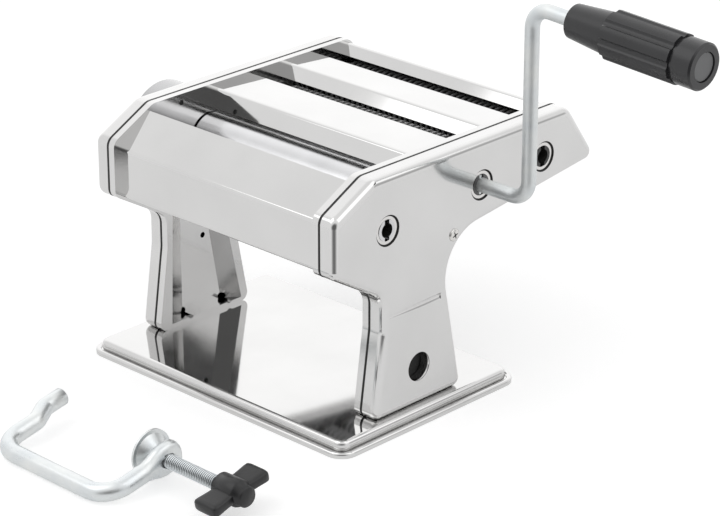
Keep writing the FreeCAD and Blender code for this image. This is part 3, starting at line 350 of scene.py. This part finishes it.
def polished_steel(name, color, roughness, waves=0.03):
    """Bright pressed sheet: faint haze, wiped smears, fine scuffs and the slow waves of thin metal."""
    finish = Finish(name, Metallic=1.0)
    haze = finish.noise(22.0, 4.0)
    smear = finish.noise(70.0, 5.0, (1.0, 0.25, 1.0))
    scuff = finish.noise(900.0, 2.0, (1.0, 0.06, 1.0))
    finish.blend(haze, color, 0.965, 1.025)
    finish.feed("Roughness", finish.spread(haze * 0.45 + smear * 0.35 + scuff * 0.2,
                                           roughness * 0.7, roughness * 1.35))
    finish.bump(finish.noise(11.0, 1.0), waves, 0.004)
    return finish.material


def turned_steel(name, color, low, high):
    """Ground or turned steel: fine rings round the X axis."""
    finish = Finish(name, Metallic=1.0)
    rings = finish.noise(1.0, 2.0, (2600.0, 6.0, 6.0))
    stain = finish.noise(35.0, 4.0)
    finish.blend(stain, color, 0.93, 1.05)
    finish.feed("Roughness", finish.spread(rings * 0.6 + stain * 0.4, low, high))
    finish.bump(rings, 0.015, 0.0004)
    return finish.material


def zinc_plate(name, color, low=0.24, high=0.42):
    """Bright zinc plate: bluish, slightly cloudy, with fine drawing marks."""
    finish = Finish(name, Metallic=0.9)
    cloud = finish.noise(60.0, 4.0)
    grain = finish.noise(420.0, 3.0)
    warm = (color[0] * 1.02, color[1] * 0.99, color[2] * 0.95)
    finish.feed("Base Color",
                finish.shades(finish.spread(cloud, 0, 1), shade(color, 0.9), shade(warm, 1.06)))
    finish.feed("Roughness", finish.spread(cloud * 0.6 + grain * 0.4, low, high))
    finish.bump(grain, 0.10, 0.0004)
    return finish.material


def grooved_steel(name, color, node, depth, metallic):
    """Metal turned about a node's axis along X: bright crests, and grooves darkened with painted shade."""
    finish = Finish(name, Metallic=metallic)
    low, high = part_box(node)
    outer = (high.z - low.z) / 2
    from_axis = finish.node("ShaderNodeVectorMath", {"operation": "SUBTRACT"},
                            {0: finish.place((0, 1, 1)), 1: (0, (low.y + high.y) / 2, (low.z + high.z) / 2)})
    radius = finish.node("ShaderNodeVectorMath", {"operation": "LENGTH"}, {0: from_axis}, "Value")
    # Painted shade: the colour falls to a tenth in the grooves, away from the bright crests.
    crest = finish.spread(radius, 0, 1, outer - 0.8 * depth, outer - 0.25 * depth)
    grain = finish.noise(420.0, 3.0)
    finish.feed("Base Color", finish.shades(crest, shade(color, 0.10), shade(color, 1.04)))
    finish.feed("Roughness", finish.spread(grain, 0.25, 0.42))
    finish.bump(grain, 0.08, 0.0004)
    return finish.material


def moulded_plastic(name, color, roughness, grain_scale=900.0):
    """Moulded plastic with a fine spark grain and handled patches."""
    finish = Finish(name, Metallic=0.0, IOR=1.49)
    handled = finish.noise(45.0, 3.0)
    grain = finish.noise(grain_scale, 2.0)
    finish.blend(handled, color, 0.9, 1.15)
    finish.feed("Roughness", finish.spread(handled, roughness * 0.85, roughness * 1.15))
    finish.bump(grain, 0.16, 0.0003)
    return finish.material


def floor_paint(name, color, glow):
    """Matt studio floor, lifted to white where it is seen; it keeps the shadow."""
    finish = Finish(name, Roughness=0.9, Emission_Strength=1.0)
    tone = finish.noise(3.0, 2.0)
    finish.blend(tone, color, 0.995, 1.0)
    camera, glossy, through = finish.seen()
    finish.feed("Emission Color", (camera + FLOOR_IN_POLISH * (glossy + through)) * glow)
    return finish.material


def dark_gap(name):
    """Painted shade for a narrow gap or a deep hole: near-black, faintly mottled."""
    finish = Finish(name, Metallic=0.0, IOR=1.45)
    shade_mottle = finish.noise(300.0, 3.0)
    finish.feed("Base Color", finish.shades(finish.spread(shade_mottle, 0, 1),
                                            (0.006, 0.006, 0.006), (0.014, 0.014, 0.013)))
    finish.feed("Roughness", finish.spread(shade_mottle, 0.45, 0.7))
    return finish.material


# Helpers for the operators.

def dress(material, *nodes):
    """Give CAD nodes a finish."""
    for name in nodes:
        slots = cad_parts[name].data.materials
        slots.clear()
        slots.append(material)


def add_mesh(name, build, material, body, smooth=True):
    """Piece made by a bmesh function, riding on a CAD body."""
    mesh = bpy.data.meshes.new(name)
    work = bmesh.new()
    build(work)
    bmesh.ops.recalc_face_normals(work, faces=work.faces)
    work.to_mesh(mesh)
    work.free()
    mesh.materials.append(material)
    for face in mesh.polygons:
        face.use_smooth = smooth
    piece = bpy.data.objects.new(name, mesh)
    bpy.context.scene.collection.objects.link(piece)
    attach(piece, body)
    return piece


def disc_about(work, centre, rings, segments=40):
    """Surface turned about an axis along X through a point, from (x, radius) rings; radius 0 is a tip."""
    rows = []
    for x, radius in rings:
        if radius == 0:
            rows.append([work.verts.new((x, centre.y, centre.z))])
            continue
        row = []
        for index in range(segments):
            angle = 2 * math.pi * index / segments
            row.append(work.verts.new((x, centre.y + radius * math.cos(angle),
                                       centre.z + radius * math.sin(angle))))
        rows.append(row)
    for first, second in zip(rows, rows[1:]):
        for index in range(segments):
            beside = (index + 1) % segments
            corners = [first[index % len(first)], first[beside % len(first)],
                       second[beside % len(second)], second[index % len(second)]]
            work.faces.new(list(dict.fromkeys(corners)))


def skin(work, rows):
    """Closed skin over rows of points, each row a ring of as many."""
    for first, second in zip(rows, rows[1:]):
        for index in range(len(first)):
            beside = (index + 1) % len(first)
            work.faces.new((first[index], first[beside], second[beside], second[index]))
    work.faces.new(rows[0])
    work.faces.new(rows[-1])


def squared(count, breadth, height, power):
    """Points (side, rise) of an oval section, which a power under 1 makes squarer."""
    for index in range(count):
        angle = 2 * math.pi * index / count
        yield (math.copysign(abs(math.cos(angle)) ** power, math.cos(angle)) * breadth,
               math.copysign(abs(math.sin(angle)) ** power, math.sin(angle)) * height)


def outline(node, axis, level):
    """Longest closed edge of a CAD node's flat face at one level of an axis, as points in order."""
    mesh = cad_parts[node].data
    spots = [tuple(round(value, 5) for value in vertex.co) for vertex in mesh.vertices]
    uses = {}
    for face in mesh.polygons:
        corners = [spots[index] for index in face.vertices]
        if all(abs(corner[axis] - level) < HAIR for corner in corners):
            for first, second in zip(corners, corners[1:] + corners[:1]):
                side = tuple(sorted((first, second)))
                uses[side] = uses.get(side, 0) + 1
    beside = {}
    for (first, second), count in uses.items():
        if count == 1 and first != second:
            beside.setdefault(first, []).append(second)
            beside.setdefault(second, []).append(first)
    loops = []
    while beside:
        here = next(iter(beside))
        loop = []
        while here is not None:
            loop.append(Vector(here))
            here = next((near for near in beside.pop(here) if near in beside), None)
        loops.append(loop)
    longest = max(loops, key=lambda loop: sum((a - b).length for a, b in zip(loop, loop[1:])))
    return [point for index, point in enumerate(longest) if (point - longest[index - 1]).length > 0.05 * MM]


def swept(work, loop, axis, section):
    """Closed band along a flat loop, from a section's offsets outward and along the axis."""
    first, second = [index for index in range(3) if index != axis]
    after = loop[1:] + loop[:1]
    before = loop[-1:] + loop[:-1]
    area = sum(a[first] * b[second] - b[first] * a[second] for a, b in zip(loop, after))
    along = Vector((axis == 0, axis == 1, axis == 2))
    rows = []
    for point, back, ahead in zip(loop, before, after):
        run = (ahead - back) * math.copysign(1, area)
        out = Vector((0, 0, 0))
        out[first] = run[second]
        out[second] = -run[first]
        out.normalize()
        rows.append([work.verts.new(point + out * reach + along * rise) for reach, rise in section])
    for row, beyond in zip(rows, rows[1:] + rows[:1]):
        for index in range(len(section)):
            nearby = (index + 1) % len(section)
            work.faces.new((row[index], row[nearby], beyond[nearby], beyond[index]))


def middle(node):
    """Middle of a CAD node's box."""
    low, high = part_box(node)
    return (low + high) / 2


def outer_faces():
    """Each side's name, the place of its cover's outer face and the way out along X."""
    return (("right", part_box("right_outer_cover")[1].x, 1), ("left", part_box("left_outer_cover")[0].x, -1))


def turned_in(face, out, rings):
    """Rings in millimetres, measured along X from a face, as places along X and radii."""
    return [(face + out * along * MM, radius * MM) for along, radius in rings]


def cross(work, face, centre, out):
    """Cross recess, drawn as a dark star of painted shade with four tapered arms on a screw's crown."""
    top = face + out * CROSS_HIGH
    hub = work.verts.new((top, centre.y, centre.z))
    rim = []
    for quarter in range(4):
        angle = math.radians(CROSS_TURN + 90 * quarter)
        ahead = Vector((0, math.cos(angle), math.sin(angle)))
        aside = Vector((0, -math.sin(angle), math.cos(angle)))
        end = CROSS_HALF * CROSS_TAPER
        for along, across in ((CROSS_HALF, -CROSS_HALF), (CROSS_ARM, -end), (CROSS_ARM, end)):
            place = centre + ahead * along + aside * across
            rim.append(work.verts.new((top - out * CROSS_FALL * along / CROSS_ARM, place.y, place.z)))
    for index in range(len(rim)):
        work.faces.new((hub, rim[index], rim[(index + 1) % len(rim)]))


class MachinePiece:
    """What all the operators share."""

    bl_options = {"REGISTER", "UNDO"}

    @property
    def finish(self):
        return bpy.context.scene.machine_finish


# Operators.

class PASTA_OT_casing(MachinePiece, bpy.types.Operator):
    """Finish the base, sides, panels and sheets, and add the screws, hem and clamp holes, with painted shade
    in the seams, the screws' cross recesses and the holes
    """
    bl_idname = "pasta.casing"
    bl_label = "Casing"

    def execute(self, context):
        color = self.finish.steel_color
        sides = polished_steel("side_steel", color, self.finish.cover_roughness)
        dress(sides, "left_outer_cover", "right_outer_cover", "left_inner_plate", "right_inner_plate")
        dress(polished_steel("panel_steel", color, self.finish.sheet_roughness),
              "front_panel", "rear_panel", "front_guide_sheet", "rear_guide_sheet")
        base = polished_steel("base_steel", color, self.finish.sheet_roughness, 0.05)
        dress(base, "base_plate")
        inside = turned_steel("inner_sheet_steel", (0.45, 0.45, 0.45), 0.3, 0.5)
        dress(inside, "base_bottom_plate", "front_roller_scraper", "rear_roller_scraper",
              "middle_comb_front", "middle_comb_rear", "rear_comb_front", "rear_comb_rear")
        screw = turned_steel("screw_steel", (0.70, 0.69, 0.67), 0.16, 0.3)
        dress(screw, "tie_rod")
        self.add_screws(screw)
        self.add_plate_hole()
        self.add_seams()
        self.add_hem(base)
        self.add_hook_holes(sides)
        return {"FINISHED"}

    @staticmethod
    def add_seams():
        """Painted shade in the seam between each inner plate and its cover: a dark band."""
        shadow = dark_gap("seam_shadow")
        for side, edge, out in (("right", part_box("right_outer_cover")[0].x, 1),
                                ("left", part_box("left_outer_cover")[1].x, -1)):
            loop = outline(side + "_outer_cover", 0, edge)
            section = [(-SEAM_DEEP, -out * SEAM_IN), (SEAM_PROUD, -out * SEAM_IN),
                       (SEAM_PROUD, out * SEAM_OUT), (-SEAM_DEEP, out * SEAM_OUT)]
            seam = add_mesh("seam_" + side, lambda work: swept(work, loop, 0, section), shadow, "frame",
                            smooth=False)

    @staticmethod
    def add_hem(material):
        """Rolled hem along the base's rim."""
        loop = outline("base_plate", 2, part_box("base_plate")[0].z)
        section = []
        for index in range(HEM_SIDES):
            angle = 2 * math.pi * index / HEM_SIDES
            section.append((HEM * math.cos(angle) - HEM, HEM * math.sin(angle) + HEM_HIGH))
        hem = add_mesh("base_hem", lambda work: swept(work, loop, 2, section), material, "frame")

    @staticmethod
    def add_hook_holes(material):
        """Drawn collars inside the covers' clamp holes, with a dark disc of painted shade behind."""
        shadow = dark_gap("hook_hole_shadow")
        centre = Vector((0, *HOOK_HOLE))
        for side, face, out in outer_faces():
            rings = turned_in(face, -out, HOOK_COLLAR)
            collar = add_mesh("hook_hole_collar_" + side, lambda work: disc_about(work, centre, rings),
                              material, "frame")
            rings = turned_in(face, -out, HOOK_BACK)
            back = add_mesh("hook_hole_back_" + side, lambda work: disc_about(work, centre, rings),
                            shadow, "frame")

    @staticmethod
    def add_plate_hole():
        """Small hole in the left inner plate, over the smooth rollers, shown by a dark disc of painted shade.
        """
        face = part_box("left_inner_plate")[1].x + 2 * HAIR
        rings = [(face, HOLE_RADIUS), (face + HAIR, HOLE_FLOOR), (face + HAIR, 0)]
        hole = add_mesh("plate_hole", lambda work: disc_about(work, Vector((0, *HOLE_PLACE)), rings),
                        dark_gap("plate_hole_shadow"), "frame")

    @staticmethod
    def add_screws(material):
        """Domed cross-head screws in the tie rod's ends."""
        centre = middle("tie_rod")
        for side, face, out in outer_faces():
            name = "tie_screw_" + side
            profile = turned_in(face, out, SCREW_DOME)
            screw = add_mesh(name, lambda work: disc_about(work, centre, profile), material, "frame")
            slots = add_mesh(name + "_cross", lambda work: cross(work, face, centre, out),
                             dark_gap(name + "_shadow"), "frame", smooth=False)


class PASTA_OT_rollers(MachinePiece, bpy.types.Operator):
    """Finish the rollers, cutters, gears and bearings, and paint shade into the sockets"""
    bl_idname = "pasta.rollers"
    bl_label = "Rollers and cutters"

    def execute(self, context):
        smooth = turned_steel("roller_steel", self.finish.roller_color, 0.14, 0.26)
        dress(smooth, "front_roller", "rear_roller")
        # Painted light and shade: each cutter's steel is lifted or darkened by its factor.
        for node, factor in CUTTER_PAINTED_LIGHT:
            color = shade(self.finish.cutter_color, factor)
            dress(grooved_steel(node + "_steel", color, node, DISC_RIM, 0.35), node)
        gear = turned_steel("gear_steel", (0.42, 0.42, 0.43), 0.3, 0.5)
        dress(gear, "front_roller_gear", "rear_roller_gear", "middle_gear_front", "middle_gear_rear",
              "rear_gear_front", "rear_gear_rear", "eccentric_shaft")
        nylon = moulded_plastic("nylon", self.finish.nylon_color, 0.45)
        dress(nylon, "shaft_bushes", "regulator_bushes", "roller_sleeves")
        dress(polished_steel("socket_ring_steel", (0.70, 0.69, 0.68), 0.12), "socket_rings")
        self.add_gaps()
        return {"FINISHED"}

    @staticmethod
    def add_gaps():
        """Painted shade in the gap round each socket's ring and in the free sockets' bores."""
        shadow = dark_gap("socket_shadow")
        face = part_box("right_outer_cover")[1].x
        seat = face - COVER_WALL + SUNK
        around = [(face - GAP_SUNK, RING_HOLE), (seat, RING_HOLE), (seat, RING_RADIUS),
                  (face - RING_SUNK - 2 * SUNK, RING_RADIUS)]
        for node, body, free in (("front_roller", "front_roller", True),
                                 ("middle_cutter_front", "middle_front", False),
                                 ("rear_cutter_front", "rear_front", True)):
            centre = middle(node)
            gap = add_mesh("socket_gap_" + body, lambda work: disc_about(work, centre, around),
                           shadow, "frame")
            if free:
                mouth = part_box(node)[1].x - SOCKET_SUNK
                floor = mouth - SOCKET_DEEP
                inside = [(mouth, SOCKET_RADIUS), (floor, SOCKET_RADIUS), (floor, 0)]
                bore = add_mesh("socket_bore_" + body, lambda work: disc_about(work, centre, inside),
                                shadow, body)


class PASTA_OT_regulator(MachinePiece, bpy.types.Operator):
    """Finish the regulator knob, and number its settings"""
    bl_idname = "pasta.regulator"
    bl_label = "Regulator knob"

    def execute(self, context):
        dress(polished_steel("knob_steel", self.finish.knob_color, 0.26), "regulator_knob")
        ink = moulded_plastic("dial_ink", (0.02, 0.02, 0.022), 0.5)
        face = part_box("regulator_knob")[0].x
        centre = middle("regulator_knob")
        for number in range(1, DIAL_NUMBERS + 1):
            turn = math.radians(90 + DIAL_STEP * (number - 1))
            digit = add_mesh("dial_number_%d" % number,
                             lambda work: self.digit(work, str(number), face, centre, turn),
                             ink, "regulator_knob", smooth=False)
        for name, inner, outer in DIAL_RINGS:
            rings = [(face + SUNK, inner * MM), (face - INK, inner * MM),
                     (face - INK, outer * MM), (face + SUNK, outer * MM)]
            ring = add_mesh(name, lambda work: disc_about(work, centre, rings, DIAL_SIDES),
                            ink, "regulator_knob", smooth=False)
        return {"FINISHED"}

    @staticmethod
    def digit(work, text, face, centre, turn):
        """Printed number that stands on a ray from the knob's axis."""
        curve = bpy.data.curves.new("dial_text", "FONT")
        curve.body = text
        curve.size = DIAL_HEIGHT
        curve.align_x = "CENTER"
        curve.align_y = "CENTER"
        source = bpy.data.objects.new("dial_text", curve)
        flat = bpy.data.meshes.new_from_object(source)
        work.from_mesh(flat)
        outward = Vector((0, math.cos(turn), math.sin(turn)))
        across = Vector((0, -math.sin(turn), math.cos(turn)))
        for vertex in work.verts:
            place = centre + outward * (DIAL_REACH + vertex.co.y) + across * vertex.co.x
            vertex.co = Vector((face - INK, place.y, place.z))
        bpy.data.objects.remove(source)
        bpy.data.curves.remove(curve)
        bpy.data.meshes.remove(flat)


class PASTA_OT_crank(MachinePiece, bpy.types.Operator):
    """Finish the crank and its grip"""
    bl_idname = "pasta.crank"
    bl_label = "Crank"

    def execute(self, context):
        zinc = zinc_plate("crank_zinc", self.finish.zinc_color, 0.42, 0.58)
        dress(zinc, "crank_rod", "crank_collar", "crank_pin")
        dress(moulded_plastic("grip_plastic", self.finish.grip_color, 0.30), "crank_grip")
        dress(moulded_plastic("cap_plastic", self.finish.cap_color, 0.5), "grip_end_cap")
        return {"FINISHED"}


class PASTA_OT_clamp(MachinePiece, bpy.types.Operator):
    """Finish the table clamp, with its bent bar, moulded wing knob and threaded screw"""
    bl_idname = "pasta.clamp"
    bl_label = "Clamp"

    def execute(self, context):
        zinc = zinc_plate("clamp_zinc", self.finish.zinc_color)
        dress(zinc, "pressure_disc")
        bar = add_mesh("clamp_bar", self.bar, zinc, "clamp")
        self.bore(bar, middle("clamp_screw"))
        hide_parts("clamp_frame")
        black = moulded_plastic("wing_plastic", self.finish.wing_color, 0.34)
        wing = add_mesh("wing_moulding", self.wing, black, "clamp_screw")
        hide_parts("wing_knob")
        # grooved_steel paints shade into the thread's roots.
        thread = grooved_steel("thread_zinc", self.finish.zinc_color, "clamp_screw", THREAD_DEPTH, 1.0)
        screw = add_mesh("clamp_thread", self.thread, thread, "clamp_screw")
        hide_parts("clamp_screw")
        return {"FINISHED"}

    @staticmethod
    def bar(work):
        """Bent round bar with a stepped tip, drawn out flat round the screw."""
        runs = [Vector(corner) for corner in BAR_CORNERS]
        path = [(runs[0], BAR_TIP, BAR_TIP, 1.0), (runs[0].lerp(runs[1], 0.05), BAR_RADIUS, BAR_RADIUS, 1.0)]
        for before, corner, after, radius in zip(runs, runs[1:], runs[2:], BAR_BENDS):
            back = (before - corner).normalized()
            ahead = (after - corner).normalized()
            half = back.angle(ahead) / 2
            hub = corner + (back + ahead).normalized() * (radius / math.sin(half))
            first = corner + back * (radius / math.tan(half)) - hub
            last = corner + ahead * (radius / math.tan(half)) - hub
            for step in range(BEND_STEPS + 1):
                point = hub + first.slerp(last, step / BEND_STEPS).normalized() * radius
                path.append((point, BAR_RADIUS, BAR_RADIUS, 1.0))
        for along, breadth, height, round_off in EYE_STATIONS:
            path.append((Vector((runs[-1].x, along)), breadth, height, round_off))
        across = Vector((0, math.cos(CLAMP_TILT), math.sin(CLAMP_TILT)))
        above = Vector((0, -math.sin(CLAMP_TILT), math.cos(CLAMP_TILT)))
        rows = []
        for index, (point, breadth, height, round_off) in enumerate(path):
            run = path[min(index + 1, len(path) - 1)][0] - path[max(index - 1, 0)][0]
            aside = Vector((-run.y, run.x)).normalized()
            row = []
            for side, rise in squared(BAR_SIDES, breadth, height, round_off):
                flat = (point + aside * side) * MM
                row.append(work.verts.new(Vector((flat.x, BAR_Y, BAR_Z)) + across * flat.y
                                          + above * (rise * MM)))
            rows.append(row)
        skin(work, rows)

    @staticmethod
    def bore(bar, centre):
        """Bore the bar's eye for the screw."""
        mesh = bpy.data.meshes.new("eye_bore")
        work = bmesh.new()
        radius = (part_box("clamp_screw")[1].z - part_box("clamp_screw")[0].z) / 2 + EYE_PLAY
        start, stop = EYE_SPAN
        disc_about(work, centre, [(start, 0), (start, radius), (stop, radius), (stop, 0)])
        bmesh.ops.recalc_face_normals(work, faces=work.faces)
        work.to_mesh(mesh)
        work.free()
        tool = bpy.data.objects.new("eye_bore", mesh)
        bpy.context.scene.collection.objects.link(tool)
        cut = bar.modifiers.new("bore", "BOOLEAN")
        cut.operation = "DIFFERENCE"
        cut.solver = "EXACT"
        cut.object = tool
        bored = bpy.data.meshes.new_from_object(bar.evaluated_get(bpy.context.evaluated_depsgraph_get()))
        bar.modifiers.clear()
        bar.data = bored
        bpy.data.objects.remove(tool)
        bpy.data.meshes.remove(mesh)

    @staticmethod
    def wing(work):
        """Moulded knob: a round hub with a boss, and two dished wings with full, rounded ends."""
        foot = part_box("wing_knob")[0].x
        centre = middle("clamp_screw")
        disc_about(work, centre, turned_in(foot, 1, WING_HUB), HUB_SIDES)
        across = Vector((0, math.cos(CLAMP_TILT), math.sin(CLAMP_TILT)))
        above = Vector((0, -math.sin(CLAMP_TILT), math.cos(CLAMP_TILT)))
        spine = Vector((foot + WING_SPINE, centre.y, centre.z))
        for hand in (1, -1):
            rows = []
            for along, breadth, thick in WING_STATIONS:
                rows.append([work.verts.new(spine + across * (hand * along * MM) + above * (rise * MM)
                                            + Vector((side * MM, 0, 0)))
                             for side, rise in squared(WING_SIDES, breadth, thick, WING_SQUARE)])
            skin(work, rows)

    @staticmethod
    def thread(work):
        """Screw with a rounded thread that runs out at both ends."""
        low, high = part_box("clamp_screw")
        centre = middle("clamp_screw")
        major = (high.z - low.z) / 2
        count = int((high.x - low.x) / THREAD_PITCH * THREAD_STEPS)
        rows = []
        for step in range(count + 1):
            x = low.x + (high.x - low.x) * step / count
            end = min(1.0, (x - low.x) / THREAD_PITCH, (high.x - x) / THREAD_PITCH)
            row = []
            for index in range(THREAD_SIDES):
                turn = (x / THREAD_PITCH - index / THREAD_SIDES) % 1
                crest = 0.5 - 0.5 * math.cos(2 * math.pi * turn)
                radius = major - THREAD_DEPTH * (1 - crest * end)
                angle = 2 * math.pi * index / THREAD_SIDES
                row.append(work.verts.new((x, centre.y + radius * math.cos(angle),
                                           centre.z + radius * math.sin(angle))))
            rows.append(row)
        skin(work, rows)


class PASTA_OT_stage(bpy.types.Operator):
    """Set up the floor, the light and the camera"""
    bl_idname = "pasta.stage"
    bl_label = "Stage"

    def execute(self, context):
        stage = context.scene.machine_stage
        self.add_camera(context.scene, stage)
        self.add_floor(context.scene, stage)
        self.add_world(context.scene, stage)
        self.add_lamps(context.scene)
        context.scene.view_settings.view_transform = "Standard"
        return {"FINISHED"}

    @staticmethod
    def add_camera(scene, stage):
        data = bpy.data.cameras.new("camera")
        data.sensor_width = SENSOR
        data.lens = stage.lens
        data.clip_end = 20.0
        camera = bpy.data.objects.new("camera", data)
        back = Vector((math.sin(stage.azimuth) * math.cos(stage.elevation),
                       -math.cos(stage.azimuth) * math.cos(stage.elevation),
                       math.sin(stage.elevation)))
        camera.matrix_world = (Matrix.Translation(Vector(stage.target) + back * stage.distance)
                               @ back.to_track_quat("Z", "Y").to_matrix().to_4x4())
        scene.collection.objects.link(camera)
        scene.camera = camera

    @staticmethod
    def add_floor(scene, stage):
        """Round floor that ends before the camera, where the dark side of the room begins."""
        mesh = bpy.data.meshes.new("floor")
        work = bmesh.new()
        bmesh.ops.create_circle(work, cap_ends=True, segments=96, radius=FLOOR_RADIUS,
                                matrix=Matrix.Translation(FLOOR_PLACE))
        work.to_mesh(mesh)
        work.free()
        mesh.materials.append(floor_paint("floor_paint", stage.floor_color, stage.floor_glow))
        floor = bpy.data.objects.new("floor", mesh)
        scene.collection.objects.link(floor)

    @staticmethod
    def add_world(scene, stage):
        """White room, darker behind the camera and brighter behind the machine where polish shows it."""
        world = bpy.data.worlds.new("studio")
        world.use_nodes = True
        scene.world = world
        room = Nodes(world.node_tree)
        camera, glossy, through = room.seen()
        way = room.node("ShaderNodeTexCoord", output="Generated")
        dark = room.spread(room.towards(way, DARK_WAY), 0, stage.dark_side, 0.70, 0.93)
        bright = room.spread(room.towards(way, BRIGHT_WAY), 0, stage.bright_side, 0.55, 0.9)
        horizon = room.spread(room.towards(way, HORIZON_WAY), 0, stage.horizon, 0.965, 0.992)
        polish = (glossy + through) * (1 - dark - horizon + bright - stage.room_level)
        plain = (1 - camera) * (polish + stage.room_level)
        background = world.node_tree.nodes["Background"]
        world.node_tree.links.new((camera + plain).socket, background.inputs["Color"])

    @staticmethod
    def add_lamps(scene):
        """Two broad soft lamps from above."""
        for name, place, size, power in LAMPS:
            data = bpy.data.lights.new(name, "AREA")
            data.size = size
            data.energy = power
            lamp = bpy.data.objects.new(name, data)
            aim = Vector(place) - Vector(LAMP_AIM)
            lamp.matrix_world = Matrix.Translation(place) @ aim.to_track_quat("Z", "Y").to_matrix().to_4x4()
            scene.collection.objects.link(lamp)


PIECES = (PASTA_OT_casing, PASTA_OT_rollers, PASTA_OT_regulator, PASTA_OT_crank, PASTA_OT_clamp,
          PASTA_OT_stage)


class PASTA_PT_panel(bpy.types.Panel):
    """Pieces of the pasta machine"""
    bl_idname = "PASTA_PT_panel"
    bl_label = "Pasta machine"
    bl_space_type = "VIEW_3D"
    bl_region_type = "UI"
    bl_category = "Pasta machine"

    def draw(self, context):
        for group in (context.scene.machine_finish, context.scene.machine_stage):
            column = self.layout.column()
            for name in group.bl_rna.properties.keys():
                if name not in {"rna_type", "name"}:
                    column.prop(group, name)
        for operator in PIECES:
            self.layout.operator(operator.bl_idname)


CLASSES = (MachineFinish, MachineStage) + PIECES + (PASTA_PT_panel,)


def register():
    for item in CLASSES:
        bpy.utils.register_class(item)
    bpy.types.Scene.machine_finish = PointerProperty(type=MachineFinish)
    bpy.types.Scene.machine_stage = PointerProperty(type=MachineStage)


def unregister():
    del bpy.types.Scene.machine_stage
    del bpy.types.Scene.machine_finish
    for item in reversed(CLASSES):
        bpy.utils.unregister_class(item)


def main():
    register()
    for operator in PIECES:
        getattr(bpy.ops.pasta, operator.bl_idname.split(".")[1])()


if __name__ == "__main__":
    main()
